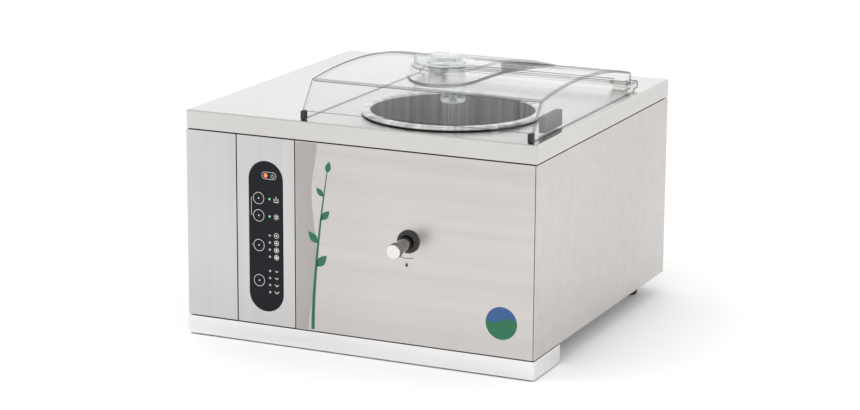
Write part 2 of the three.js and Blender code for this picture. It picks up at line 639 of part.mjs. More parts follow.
function drive() {
  const { z, height, thick, large, small, motorY } = BELT;
  part("driven_pulley", pulley(BOWL.y, large, SPINDLE.radius + 0.3), castAluminium);
  const shaft = round(BOWL.x, motorY, 4, z - height / 2 - 3, BRIDGE.top + 6, 16);
  part("motor_pulley", join(pulley(motorY, small, 3.5), shaft), castAluminium);
  const outside = beltPlan(large + GAP + thick, small + GAP + thick);
  part("drive_belt", cut(
    raised(outside, z - height / 2 + 0.6, z + height / 2 - 0.6),
    raised(beltPlan(large + GAP, small + GAP), z - height, z + height),
  ), blackRubber);
  const body = round(BOWL.x, motorY, 36, BRIDGE.top + GAP, 150, 28);
  const cap = round(BOWL.x, motorY, 32, 149, 162, 28, 22);
  const bore = round(BOWL.x, motorY, 4.6, BRIDGE.top - 5, BRIDGE.top + 7, 16);
  part("stirrer_motor", cut(join(body, cap), bore), blackEnamel);
}

// Plan of a belt loop round two pulleys of the given radii.
function beltPlan(large, small) {
  const span = BELT.motorY - BOWL.y;
  const lean = Math.asin((large - small) / span);
  const arc = (y, radius, from, to, steps) => [...Array(steps + 1).keys()].map((i) => {
    const turn = from + ((to - from) * i) / steps;
    return [BOWL.x + radius * Math.cos(turn), y + radius * Math.sin(turn)];
  });
  return outline([
    ...arc(BELT.motorY, small, lean, Math.PI - lean, 10),
    ...arc(BOWL.y, large, Math.PI - lean, 2 * Math.PI + lean, 22),
  ]);
}

// A bridge over the belt carries the motor and the spindle housing.
function driveBridge() {
  const { bottom, top, left, right, front, rear } = BRIDGE;
  const leg = (y) => box([left, right], [y, y + 3], [PAN_TOP, bottom + 1]);
  const plate = box([left, right], [front - 3, rear + 3], [bottom, top]);
  const hole = (y, radius) => round(BOWL.x, y, radius, bottom - 5, top + 5);
  const holes = [hole(BOWL.y, SPINDLE.radius + 2), hole(BELT.motorY, 6)];
  part("drive_bridge", cut(join(plate, leg(front - 3), leg(rear)), ...holes), plainSteel);
}

// ---------- refrigeration ----------
// A domed can with a welded seam, on three waisted rubber mounts.
function compressor() {
  const { x, y, radius, bottom, top } = COMPRESSOR;
  const seam = (bottom + top) / 2 + 6;
  const profile = [
    [0, bottom], [radius - 22, bottom], [radius - 6, bottom + 8], [radius, bottom + 24], [radius, seam - 4],
    [radius + 3, seam - 4], [radius + 3, seam + 2], [radius, seam + 2], [radius, top - 26],
    [radius - 8, top - 9], [radius - 26, top], [0, top],
  ];
  part("compressor", turned(x, y, profile, 28), blackEnamel);
  const spots = { left: [-25.3, -16.5], right: [25.3, -16.5], rear: [0, 28.6] };
  const head = bottom - 0.6;
  for (const [side, [dx, dy]] of Object.entries(spots)) {
    const waisted = [[0, PAN_TOP], [11, PAN_TOP], [8, 33], [10, head], [0, head]];
    part(`compressor_mount_${side}`, turned(x + dx, y + dy, waisted, 14), blackRubber);
  }
}

// The condenser is a block of upright fins on a core, behind the fan.
function condenser() {
  const { width, front, rear, bottom, top, fins } = CONDENSER;
  const [left, right] = [FAN.x - width / 2, FAN.x + width / 2];
  const fin = 8;
  let block = box([left, right], [front + 6, rear - 6], [bottom, top]);
  for (let i = 0; i < fins; i++) {
    const x = left + ((width - fin) * i) / (fins - 1);
    block = join(block, box([x, x + fin], [front, rear], [bottom - 4, top + 4]));
  }
  part("condenser", block, castAluminium);
}

// A square shroud with a round duct and three struts, a motor held in its middle, and a bladed rotor.
function fan() {
  const { x, z, radius, y, blades: count, pitch } = FAN;
  const half = radius + 14;
  const mouth = roundY(x, z, radius + 3, y - 6, y + 20, 32);
  const plate = cut(box([x - half, x + half], [y + 14, y + 17], [z - half, z + half]), mouth);
  const duct = cut(roundY(x, z, radius + 6, y - 4, y + 15, 32), mouth);
  const struts = [0, 120, 240].map((turn) => box([-3, 3], [y - 6, y - 3.6], [22, radius + 5.5])
    .rotate([0, turn, 0]).translate(x, 0, z));
  const holder = cut(roundY(x, z, 25, y - 12, y - 3.6, 20), roundY(x, z, 20, y - 14, y, 20));
  part("fan_shroud", join(plate, duct, holder, ...struts), blackEnamel);
  const blades = [...Array(count).keys()].map((i) => box([-1.2, 1.2], [-9, 9], [12, radius])
    .rotate([0, 0, pitch]).rotate([0, (360 / count) * i, 0]).translate(x, y + 8, z));
  const hub = join(roundY(x, z, 15, y - 1, y + 17, 16), roundY(x, z, 3, y - 12, y, 10));
  part("fan_rotor", join(hub, ...blades), greyPlastic);
  const motor = cut(roundY(x, z, 19.4, y - 44, y - 4.5, 20), roundY(x, z, 3.5, y - 14, y, 10));
  part("fan_motor", motor, blackEnamel);
}

// One line runs from the compressor's top to the condenser's side, the other to the jacket's side.
function refrigerantLines() {
  const { x, y, top } = COMPRESSOR;
  const discharge = [
    [x - 10, y, top + GAP], [x - 10, y, top + 26], [x + 10, y + 60, top + 34], [x + 40, y + 150, 206],
    [-60, 190, 206], [FAN.x - CONDENSER.width / 2 - 1, 192, 206],
  ];
  part("discharge_line", alongCurve(discharge, 3, 24, 8), copper);
  const suction = [
    [x + 20, y, top + GAP], [x + 20, y, top + 20], [x + 42, y - 10, top + 32],
    [BOWL.x - JACKET.half - 3, BOWL.y + 60, 216],
  ];
  part("suction_line", alongCurve(suction, 4, 16, 8), copper);
}

// ---------- mains ----------
// A rimmed housing let into the rear panel, and a rocker in its well, pressed at the lower end.
function mainsSwitch() {
  const { x, z, width, height, depth } = SWITCH;
  const takenIn = (inset, y0, y1) => {
    const [sideways, up] = [width / 2 - inset, height / 2 - inset];
    return box([x - sideways, x + sideways], [y0, y1], [z - up, z + up]);
  };
  const body = join(takenIn(0, Y + GAP, Y + 2.4), takenIn(2.6, Y - depth, Y + 1));
  part("switch_housing", cut(body, takenIn(4.4, Y - 9, Y + 5)), blackEnamel);
  const half = height / 2 - 6;
  const side = [
    [Y - 5, z - half], [Y + 1.2, z - half], [Y + 0.6, z],
    [Y + 3.2, z + half], [Y - 2.4, z + half], [Y - 5, z],
  ];
  part("switch_rocker", across(side, x - width / 2 + 5, x + width / 2 - 5), blackRubber);
}

// An appliance inlet: a flanged shell with a socket and three blades standing in it.
function powerInlet() {
  const { x, z, width, height, flange, depth } = INLET;
  const around = (grow, y0, y1) => box(
    [x - width / 2 - grow, x + width / 2 + grow], [y0, y1], [z - height / 2 - grow, z + height / 2 + grow]);
  const shell = join(around(flange, Y + GAP, Y + 3), around(0, Y - depth - 4, Y + 1));
  const blade = (dx, dz) => box([x + dx - 1, x + dx + 1], [Y - depth - 1, Y - 2], [z + dz - 2, z + dz + 2]);
  const socket = around(-2, Y - depth, Y + 5);
  part("power_inlet", join(cut(shell, socket), blade(-7, -2), blade(0, 2), blade(7, -2)), blackEnamel);
}

deck();
leftPanel();
rightPanel();
frontPanel();
controlFascia();
rearPanel();
basePan();
plinth();
feet();
keypad();
keys();
controlBoard();
bowl();
bowlGasket();
evaporatorCoil();
insulationJacket();
drainPipe();
drainGrommet();
drainPlug();
lid();
hinges();
safetyMagnet();
lidPads();
feedCap();
stirrer();
stirrerNut();
driveSpindle();
spindleHousing();
drive();
driveBridge();
compressor();
condenser();
fan();
refrigerantLines();
mainsSwitch();
powerInlet();

// The middle of the assembly's depth becomes the origin.
const extent = new THREE.Box3().setFromObject(machine);
machine.position.y = -(extent.min.y + extent.max.y) / 2;

export default machine;
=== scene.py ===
"""Looks of a countertop batch ice cream machine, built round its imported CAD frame."""

import json
from math import atan, cos, hypot, pi, radians, sin, sqrt, tan

import bmesh
import bpy
from bpy.props import FloatProperty, FloatVectorProperty, PointerProperty
from mathutils import Matrix, Vector
from mathutils.geometry import delaunay_2d_cdt


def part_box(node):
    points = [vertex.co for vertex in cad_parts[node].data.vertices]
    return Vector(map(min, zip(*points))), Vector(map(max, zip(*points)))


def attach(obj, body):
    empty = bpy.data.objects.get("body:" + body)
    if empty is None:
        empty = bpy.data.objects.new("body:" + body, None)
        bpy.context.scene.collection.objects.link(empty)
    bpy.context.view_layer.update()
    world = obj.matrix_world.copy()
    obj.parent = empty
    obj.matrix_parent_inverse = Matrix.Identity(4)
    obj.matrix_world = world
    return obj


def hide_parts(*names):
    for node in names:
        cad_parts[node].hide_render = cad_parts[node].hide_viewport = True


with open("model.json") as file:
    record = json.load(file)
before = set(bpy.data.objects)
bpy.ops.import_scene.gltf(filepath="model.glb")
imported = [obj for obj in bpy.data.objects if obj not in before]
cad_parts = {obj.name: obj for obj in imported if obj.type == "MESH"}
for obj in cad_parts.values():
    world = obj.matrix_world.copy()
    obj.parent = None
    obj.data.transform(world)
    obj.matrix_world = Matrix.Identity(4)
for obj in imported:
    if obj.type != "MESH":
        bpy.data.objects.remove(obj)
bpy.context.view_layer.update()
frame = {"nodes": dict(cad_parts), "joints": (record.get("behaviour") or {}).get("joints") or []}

bl_info = {
    "name": "Batch Ice Cream Machine",
    "version": (1, 0, 0),
    "blender": (4, 5, 0),
    "location": "3D View > Sidebar > Ice Cream",
    "description": "Adds the finished surfaces of a countertop batch ice cream machine to its CAD frame",
    "category": "Add Mesh",
}


# ---------- names, and places read from the frame ----------

def middle(node):
    low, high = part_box(node)
    return (low + high) / 2


MM = 0.001
CABINET = "cabinet"
KEYS = ("churn_key", "cooling_key", "programme_key", "storage_key")
MACHINERY = {
    "plain_steel": ("base_pan", "drive_bridge", "drive_spindle"),
    "black_enamel": ("compressor", "stirrer_motor", "fan_motor"),
    "cast_aluminium": ("condenser", "spindle_housing", "driven_pulley", "motor_pulley"),
    "copper": ("evaporator_coil", "discharge_line", "suction_line"),
    "foam": ("insulation_jacket",),
    "circuit_board": ("control_board",),
    "black_rubber": ("drive_belt", "lid_sensor", "compressor_mount_left", "compressor_mount_right",
                     "compressor_mount_rear"),
    "black_plastic": ("fan_shroud",),
    "grey_plastic": ("fan_rotor",),
}

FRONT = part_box("front_panel")[0].y
BACK = (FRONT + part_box("rear_panel")[1].y) / 2  # the cabinet's middle, behind the frame's origin
DECK_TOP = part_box("deck")[1].z
BOWL_AXIS = middle("bowl")
CAP_AXIS = middle("feed_cap")

# Millimetres from the cabinet's middle.
SUMP = (67, -172)  # where the drain leaves the bowl's floor
LAMP_X, SYMBOL_X = -113.4, -104.5
LAMP_HEIGHTS = (178.7, 157.7, 134.5, 125.9, 117.3, 108.6, 91.2, 82.6, 74.0, 65.3)
POWER_LAMP = (-118.2, 206.8)


# ---------- settings ----------

def settings():
    return bpy.context.scene.ice_cream


def length(name, description, default):
    return FloatProperty(name=name, description=description, default=default, unit="LENGTH", precision=5)


def colour(name, description, default):
    return FloatVectorProperty(name=name, description=description, default=default, size=3,
                               subtype="COLOR", min=0, max=1)


def share(name, description, default):
    return FloatProperty(name=name, description=description, default=default, subtype="FACTOR", min=0, max=1)


class CabinetSettings(bpy.types.PropertyGroup):
    steel: colour("Steel", "Colour of the brushed steel sheet", (0.565, 0.538, 0.52))
    fascia: colour("Fascia", "Colour of the left panel's and control fascia's steel", (0.57, 0.562, 0.562))
    # The plinth's light tint is painted reflection: the same steel, lightened to stand in for the white floor
    # mirrored in it. Its lower roughness is its own.
    plinth: colour("Plinth", "Colour of the plinth's steel", (0.82, 0.81, 0.82))
    roughness: share("Roughness", "Roughness of the brushed steel sheet", 0.33)
    bend: length("Bend", "Outside radius of the sheet's bends", 1.4 * MM)
    # The deck's slightly lighter tint is painted light on the top face. Its finer brushing along Y is its
    # own.
    deck: colour("Deck", "Colour of the deck's steel", (0.6, 0.588, 0.572))
    deck_edge: length("Deck Edge", "Outside radius of the deck's edges", 2.4 * MM)


class BowlSettings(bpy.types.PropertyGroup):
    inner: length("Inner Radius", "Radius of the bowl's inside wall", 97 * MM)
    rim: length("Rim Radius", "Radius of the rolled rim's outer edge", 108 * MM)
    steel: colour("Steel", "Colour of the bowl's steel", (0.82, 0.82, 0.82))


class LidSettings(bpy.types.PropertyGroup):
    wall: length("Wall", "Thickness of the clear plastic", 3 * MM)
    rounding: length("Rounding", "Radius of the lid's outer edges", 3 * MM)
    arch_rise: length("Arch Rise", "Height of the arch's crest over the deck", 50 * MM)
    arch_radius: length("Arch Radius", "Radius of the lid's arch, seen from the side", 806 * MM)
    # The flank's dark tint is painted shade and reflection; the plastic there is as clear as elsewhere.
    flank: length("Flank Start", "How far behind the port the tongue's smoky flank begins", 52 * MM)
    front_lean: length("Front Lean", "How far the front wall leans back over its height", 25 * MM)
    clear: colour("Tint", "Tint of the clear plastic", (0.88, 0.9, 0.9))
    # Painted shade: the darker, denser tint at the lid's bends and rims stands in for the shade that clear
    # plastic shows there.
    edge: colour("Edge", "Tint of the clear plastic at its bends and rims", (0.12, 0.125, 0.125))
    # Painted shade: a dark tint on the tongue's right flank stands in for shade and reflection.
    smoke: colour("Flank", "Tint of the clear plastic on the tongue's right flank", (0.09, 0.092, 0.094))


class KeypadSettings(bpy.types.PropertyGroup):
    film: colour("Film", "Colour of the keypad's film", (0.009, 0.0095, 0.013))
    print: colour("Print", "Colour of the keypad's symbols", (0.75, 0.75, 0.75))
    line: length("Line", "Width of the printed lines", 0.42 * MM)


class FilmSettings(bpy.types.PropertyGroup):
    grey: colour("Band", "Colour of the band beside the control fascia", (0.42, 0.4, 0.385))
    green: colour("Sprig", "Colour of the sprig", (0.006, 0.14, 0.06))
    blue: colour("Disc", "Colour of the round disc", (0.02, 0.09, 0.25))
    black: colour("Symbol", "Colour of the drain symbol", (0.02, 0.02, 0.022))
    thickness: length("Thickness", "Thickness of the printed film", 0.12 * MM)


class StageSettings(bpy.types.PropertyGroup):
    floor: colour("Floor", "Colour of the floor", (0.96, 0.96, 0.96))
    world: FloatProperty(name="Overhead", description="Strength of the white surround overhead", default=0.95)
    horizon: FloatProperty(name="Horizon", description="Strength of the white surround near the floor",
                           default=1.3)
    camera_lens: FloatProperty(name="Lens", description="Focal length in millimetres", default=108.9)
    camera_roll: FloatProperty(name="Roll", description="Turn of the camera about its own axis",
                               default=radians(0.34), subtype="ANGLE")


# ---------- shader maths ----------

class Value:
    """A shader socket that Python's operators work on; a tuple or a vector socket makes vector maths."""

    def __init__(self, tree, socket):
        self.tree = tree
        self.socket = socket

    @property
    def is_vector(self):
        return self.socket.type in ("VECTOR", "RGBA")

    def combine(self, operation, first, second):
        is_vector = any(isinstance(x, tuple) or (isinstance(x, Value) and x.is_vector)
                        for x in (first, second))
        kind = "ShaderNodeVectorMath" if is_vector else "ShaderNodeMath"
        output = "Vector" if is_vector else "Value"
        return self.tree.node(kind, output, {"operation": operation}, {0: first, 1: second})

    def __add__(self, other):
        return self.combine("ADD", self, other)

    def __radd__(self, other):
        return self.combine("ADD", other, self)

    def __sub__(self, other):
        return self.combine("SUBTRACT", self, other)

    def __mul__(self, other):
        return self.combine("MULTIPLY", self, other)

    def __rmul__(self, other):
        return self.combine("MULTIPLY", other, self)

    def __pow__(self, other):
        return self.combine("POWER", self, other)

    def clamp(self):
        return self.tree.node("ShaderNodeClamp", "Result", {}, {"Value": self})


class Finish:
    """A material whose nodes are made one call at a time."""

    def __init__(self, name):
        self.material = bpy.data.materials.new(name)
        self.material.use_nodes = True
        self.nodes = self.material.node_tree.nodes
        self.links = self.material.node_tree.links
        self.nodes.clear()

    def node(self, kind, output, settings, inputs):
        made = self.nodes.new(kind)
        for key, value in settings.items():
            setattr(made, key, value)
        for key, value in inputs.items():
            socket = made.inputs[key]
            if isinstance(value, Value):
                self.links.new(value.socket, socket)
            elif socket.type == "RGBA":
                socket.default_value = (*value[:3], 1)
            else:
                socket.default_value = value
        return Value(self, made.outputs[output])

    def place(self):
        return self.node("ShaderNodeTexCoord", "Object", {}, {})

    def noise(self, scale, vector=None, detail=3.0, roughness=0.55):
        return self.node("ShaderNodeTexNoise", "Fac", {"noise_dimensions": "3D"}, {
            "Vector": vector or self.place(), "Scale": scale, "Detail": detail, "Roughness": roughness})

    def mix(self, factor, first, second):
        """Goes from the first colour to the second; the colour sockets of a Mix node are its 6 and 7."""
        return self.node("ShaderNodeMix", 2, {"data_type": "RGBA"}, {0: factor, 6: first, 7: second})

    def bump(self, height, strength, distance):
        return self.node("ShaderNodeBump", "Normal", {}, {
            "Height": height, "Strength": strength, "Distance": distance})

    def principled(self, **inputs):
        named = {key.replace("_", " "): value for key, value in inputs.items()}
        return self.node("ShaderNodeBsdfPrincipled", "BSDF", {}, named)

    def finish(self, shader):
        output = self.nodes.new("ShaderNodeOutputMaterial")
        self.links.new(shader.socket, output.inputs["Surface"])
        return self.material


def shade(tint, amount):
    return tuple(amount * x for x in tint)


# ---------- finishes ----------

def brushed_steel(name, tint, roughness, along="X", grain=1.0):
    """Sheet steel with fine scratches along one axis, and slow cloudy changes of tone."""
    make = Finish(name)

    def stretched(long, short, detail, rough):
        scale = tuple(long if axis == along else short for axis in "XYZ")
        return make.noise(1.0, make.place() * scale, detail, rough)

    scratches, streaks = stretched(14, 900, 4.0, 0.7), stretched(1.2, 60, 2.0, 0.5)
    clouds = make.noise(3.2, detail=2.0)
    tone = (0.5 + (clouds - 0.5) * 1.6 + grain * ((streaks - 0.5) * 1.1 + (scratches - 0.5) * 0.9)).clamp()
    return make.finish(make.principled(
        Base_Color=make.mix(tone, shade(tint, 0.88), shade(tint, 1.06)), Metallic=1.0,
        Roughness=roughness + grain * ((scratches - 0.5) * 0.22 + (streaks - 0.5) * 0.08),
        Normal=make.bump(scratches, 0.12 * grain, 0.02 * MM)))


def turned_steel(name, tint, roughness, centre):
    """Steel polished on a lathe: rings in the finish, and soft dark and light rays round the axis that paint
    reflections into the colour.
    """
    make = Finish(name)
    moved = make.place() - tuple(centre)
    around = make.node("ShaderNodeTexGradient", "Fac", {"gradient_type": "RADIAL"}, {"Vector": moved})
    height = make.node("ShaderNodeSeparateXYZ", "Z", {}, {"Vector": moved})
    apart = make.node("ShaderNodeVectorMath", "Value", {"operation": "LENGTH"}, {0: moved * (1.0, 1.0, 0.0)})
    rings = make.node("ShaderNodeCombineXYZ", "Vector", {}, {
        "X": height * 700, "Y": apart * 700, "Z": around * 9})
    lines = make.noise(1.0, rings, 3.0, 0.5)
    turn = make.node("ShaderNodeCombineXYZ", "Vector", {}, {"X": around * 11})
    # Painted reflection: dark and light rays round the axis stand in for the studio mirrored in the polished
    # steel.
    painted_reflection_rays = make.noise(4.0, turn, 3.0, 0.6) * 0.8 + make.noise(26.0, turn, 2.0, 0.6) * 0.2
    streaks = ((painted_reflection_rays - 0.5) * 3.2 + 0.5).clamp()
    return make.finish(make.principled(
        Base_Color=make.mix(streaks, shade(tint, 0.36), tint), Metallic=0.72,
        Roughness=roughness + (lines - 0.5) * 0.06, Normal=make.bump(lines, 0.03, 0.01 * MM)))


def plain_metal(name, tint, roughness, grain=120.0, depth=0.03 * MM):
    """Cast, drawn or zinc plated metal with a light mottle."""
    make = Finish(name)
    mottle = make.noise(grain)
    clouds = make.noise(9.0)
    return make.finish(make.principled(
        Base_Color=make.mix(clouds * 0.7 + mottle * 0.3, shade(tint, 0.72), tint),
        Metallic=1.0, Roughness=roughness + (mottle - 0.5) * 0.15,
        Normal=make.bump(mottle, 0.25, depth)))


def moulded(name, tint, roughness, texture=0.05 * MM, grain=1400.0, shine=0.5):
    """Moulded plastic, rubber or film with a fine surface texture."""
    make = Finish(name)
    pebble = make.noise(grain, detail=2.0)
    clouds = make.noise(14.0)
    return make.finish(make.principled(
        Base_Color=make.mix(clouds * 0.6 + pebble * 0.4, shade(tint, 0.8), tint),
        Roughness=roughness + (pebble - 0.5) * 0.12, Specular_IOR_Level=shine,
        Normal=make.bump(pebble, 0.2, texture)))


def enamel(name, tint):
    """Glossy paint with a slight orange peel."""
    make = Finish(name)
    peel = make.noise(180.0, detail=1.0)
    return make.finish(make.principled(
        Base_Color=make.mix(peel, shade(tint, 0.85), tint), Roughness=0.3 + (peel - 0.5) * 0.08,
        Coat_Weight=0.5, Coat_Roughness=0.08, Normal=make.bump(peel, 0.15, 0.06 * MM)))


def foam(name):
    make = Finish(name)
    cells = make.node("ShaderNodeTexVoronoi", "Distance", {}, {"Vector": make.place(), "Scale": 420.0})
    return make.finish(make.principled(
        Base_Color=make.mix(cells, (0.02, 0.02, 0.021), (0.05, 0.05, 0.052)), Roughness=0.9,
        Normal=make.bump(cells, 0.6, 0.4 * MM)))


def circuit_board(name):
    make = Finish(name)
    tracks = make.node("ShaderNodeTexBrick", "Fac", {}, {
        "Vector": make.place(), "Scale": 160.0, "Mortar Size": 0.03})
    return make.finish(make.principled(
        Base_Color=make.mix(tracks, (0.02, 0.12, 0.05), (0.05, 0.25, 0.1)), Roughness=0.4 + tracks * 0.15))


def lamp(name, tint, glow):
    """A small lens, brighter in its middle."""
    make = Finish(name)
    facing = make.node("ShaderNodeLayerWeight", "Facing", {}, {"Blend": 0.35})
    frost = make.noise(900.0)
    return make.finish(make.principled(
        Base_Color=make.mix(facing, tint, shade(tint, 0.5)), Roughness=0.25 + frost * 0.1,
        Coat_Weight=0.6, Emission_Color=make.mix(facing, tint, (0.0, 0.0, 0.0)), Emission_Strength=glow))


def clear_plastic(name, tint, body=0.01, edge=0.35, mirror=0.12, graze=0.4):
    """Clear moulded plastic: see-through face on, and denser and greyer at a grazing angle."""
    make = Finish(name)
    rim = make.node("ShaderNodeLayerWeight", "Facing", {}, {"Blend": 0.3})
    shine = make.node("ShaderNodeFresnel", "Fac", {}, {"IOR": 1.49})
    haze = make.noise(45.0, detail=2.0)
    dense = make.principled(
        Base_Color=make.mix(((rim - 0.7) * 7).clamp(), tint, shade(tint, 0.2)),
        Roughness=0.25 + haze * 0.1, Specular_IOR_Level=0.0, Coat_Weight=0.6, Coat_Roughness=0.04,
        Normal=make.bump(haze, 0.04, 0.2 * MM))
    through = make.node("ShaderNodeBsdfTransparent", "BSDF", {}, {"Color": (0.99, 0.993, 0.993)})
    grazing = ((rim - 0.7) * 5).clamp()
    solid = (body + haze * 0.01 + rim ** 6 * edge + shine * mirror + grazing * graze).clamp()
    return make.finish(make.node("ShaderNodeMixShader", 0, {}, {0: solid, 1: through, 2: dense}))


def finishes():
    """The maker of each slot's finish, with what it takes after the name."""
    chosen = settings()
    cabinet, lid, keypad, films = chosen.cabinet, chosen.lid, chosen.keypad, chosen.films
    return {
        "brushed_steel": (brushed_steel, cabinet.steel, cabinet.roughness),
        "fascia_steel": (brushed_steel, cabinet.fascia, cabinet.roughness, "Z"),
        # Painted reflection: a lighter copy of the cabinet steel for the plinth.
        "plinth_steel": (brushed_steel, cabinet.plinth, 0.22),
        # The deck's finer brushing is its own; its lighter tint is painted light.
        "deck_steel": (brushed_steel, cabinet.deck, 0.24, "Y", 0.25),
        # The bowl's finish paints reflections as rays round its axis.
        "bowl_steel": (turned_steel, chosen.bowl.steel, 0.24, BOWL_AXIS),
        # Painted shade: the spout is the bowl's steel, darkened to stand in for the shade and dark
        # reflections on its sides.
        "spout_steel": (plain_metal, (0.3, 0.293, 0.288), 0.12, 60.0, 0.01 * MM),
        "plug_steel": (plain_metal, (0.86, 0.85, 0.84), 0.2, 90.0, 0.01 * MM),
        "plain_steel": (plain_metal, (0.5, 0.51, 0.53), 0.42),
        "cast_aluminium": (plain_metal, (0.62, 0.63, 0.64), 0.5, 260.0, 0.12 * MM),
        "copper": (plain_metal, (0.72, 0.38, 0.24), 0.3, 40.0),
        "clear_plastic": (clear_plastic, lid.clear),
        # Painted shade at the lid's bends and rims.
        "clear_edge": (clear_plastic, lid.edge, 0.42, 0.5, 0.4),
        "clear_knob": (clear_plastic, lid.clear, 0.08, 0.5, 0.28, 0.3),
        # Painted shade and reflection on the tongue's right flank.
        "clear_smoke": (clear_plastic, lid.smoke, 0.3, 0.4, 0.2, 0.3),
        "magnet_plastic": (moulded, (0.06, 0.061, 0.063), 0.5),
        "keypad_film": (moulded, keypad.film, 0.42, 0.02 * MM, 2200.0, 0.15),
        "keypad_print": (moulded, keypad.print, 0.5, 0.01 * MM),
        "lamp_orange": (lamp, (1.0, 0.14, 0.03), 1.1),
        "lamp_green": (lamp, (0.16, 0.6, 0.25), 0.25),
        "lamp_white": (lamp, (0.42, 0.43, 0.44), 0.03),
        "green_film": (moulded, films.green, 0.42, 0.01 * MM),
        "grey_film": (brushed_steel, films.grey, 0.42, "Z", 0.6),
        "blue_film": (moulded, films.blue, 0.32, 0.01 * MM),
        "black_film": (moulded, films.black, 0.45, 0.01 * MM),
        "black_rubber": (moulded, (0.022, 0.022, 0.024), 0.62, 0.08 * MM, 900.0),
        "black_plastic": (moulded, (0.03, 0.03, 0.032), 0.4),
        "grey_plastic": (moulded, (0.2, 0.205, 0.21), 0.45),
        "white_plastic": (moulded, (0.78, 0.77, 0.73), 0.45, 0.02 * MM),
        "black_enamel": (enamel, (0.02, 0.021, 0.023)),
        "foam": (foam,),
        "circuit_board": (circuit_board,),
    }


def look(slot):
    """The finish that belongs to a slot, made once."""
    name = slot + "_finish"
    maker, *values = finishes()[slot]
    return bpy.data.materials.get(name) or maker(name, *values)


# ---------- mesh making ----------

FORWARD = Matrix(((1, 0, 0, 0), (0, 0, -1, 0), (0, 1, 0, 0), (0, 0, 0, 1)))


def at(x, y, z):
    """A point in the row frame from millimetres measured from the cabinet's own middle."""
    return Vector((x * MM, y * MM + BACK, z * MM))


def upright(node):
    """The place of a node's vertical axis, at the frame's height zero."""
    centre = middle(node)
    return Matrix.Translation((centre.x, centre.y, 0))


def facing_front(y):
    """Local X to the right, Y up and Z forwards, from a height of zero at y."""
    return Matrix.Translation((0, y, 0)) @ FORWARD


def axes_at(origin, forward):
    """A matrix that stands local +Z along forward, with local +Y as near to up as it can be."""
    turned_to = Vector(forward).to_track_quat("Z", "Y").to_matrix().to_4x4()
    return Matrix.Translation(origin) @ turned_to


def piece(name, made, body, slot, stands_for=(), finish=None, crease=radians(35)):
    """Turns a bmesh into a piece that rides on a body and stands for CAD nodes."""
    areas = [face.calc_area() for face in made.faces]
    bmesh.ops.recalc_face_normals(made, faces=made.faces)
    mesh = bpy.data.meshes.new(name)
    made.to_mesh(mesh)
    made.free()
    mesh.materials.append(look(finish or slot))
    mesh.shade_smooth()
    mesh.set_sharp_from_angle(angle=crease)
    thing = bpy.data.objects.new(name, mesh)
    bpy.context.scene.collection.objects.link(thing)
    if max(areas) > 20 * min(areas):
        steady(thing)
    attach(thing, body)
    if stands_for:
        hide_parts(*stands_for)
    return thing


def steady(thing):
    """Lets the large flat faces set the shading, so that rounded edges don't tilt it."""
    weighted = thing.modifiers.new("shading", "WEIGHTED_NORMAL")
    weighted.keep_sharp, weighted.weight = True, 100


def filleted(corners, closed=True, steps=5):
    """A polyline through (a, b, radius) corners, with each corner rounded to its radius."""
    points = []
    count = len(corners)
    for i, (a, b, radius) in enumerate(corners):
        here = Vector((a, b))
        if radius == 0 or (not closed and i in (0, count - 1)):
            points.append(here)
            continue
        before = Vector(corners[i - 1][:2]) - here
        after = Vector(corners[(i + 1) % count][:2]) - here
        half = before.angle(after) / 2
        reach = min(radius / tan(half), 0.48 * before.length, 0.48 * after.length)
        used = reach * tan(half)
        centre = here + (before.normalized() + after.normalized()).normalized() * (used / sin(half))
        start = here + before.normalized() * reach - centre
        end = here + after.normalized() * reach - centre
        turn = start.angle(end)
        for k in range(steps + 1):
            part = k / steps
            spoke = (start * sin((1 - part) * turn) + end * sin(part * turn)) / sin(turn)
            points.append(centre + spoke)
    return points


def pairs(points):
    """Millimetres to metres for points in a plane."""
    return [(a * MM, b * MM) for a, b in points]


def profile(corners, steps=4):
    """A [radius, height] profile from (radius, height, rounding) corners in millimetres."""
    return pairs(filleted(corners, corners[0][0] > 0, steps))


def washer(inner, outer, low, high, rounding):
    """The corners of a ring of rectangular section."""
    return [(inner, low, rounding), (outer, low, rounding), (outer, high, rounding), (inner, high, rounding)]


def lathe(made, shape, place, segments=96):
    """Adds a profile turned about the local Z of place; one that starts off the axis closes on itself."""
    closed = shape[0][0] > 1e-9
    rings = []
    for radius, height in shape:
        if radius < 1e-9:
            rings.append([made.verts.new(place @ Vector((0, 0, height)))])
            continue
        rings.append([made.verts.new(place @ Vector((
            radius * cos(2 * pi * k / segments), radius * sin(2 * pi * k / segments), height)))
            for k in range(segments)])
    for near, far in zip(rings, rings[1:] + (rings[:1] if closed else [])):
        for k in range(segments):
            n = (k + 1) % segments
            if len(near) == 1:
                made.faces.new((near[0], far[k], far[n]))
            elif len(far) == 1:
                made.faces.new((near[k], near[n], far[0]))
            else:
                made.faces.new((near[k], near[n], far[n], far[k]))
    return made


def turned(name, corners, place, segments, body, slot, stands_for=(), finish=None, steps=4):
    """Makes a piece by turning (radius, height, rounding) corners about the local Z of place."""
    made = lathe(bmesh.new(), profile(corners, steps), place, segments)
    return piece(name, made, body, slot, stands_for, finish)


def inside(point, loop):
    """True if a plan point lies inside a closed loop of points."""
    hit = False
    for a, b in zip(loop, loop[1:] + loop[:1]):
        if (a[1] > point[1]) != (b[1] > point[1]):
            if point[0] < a[0] + (point[1] - a[1]) * (b[0] - a[0]) / (b[1] - a[1]):
                hit = not hit
    return hit


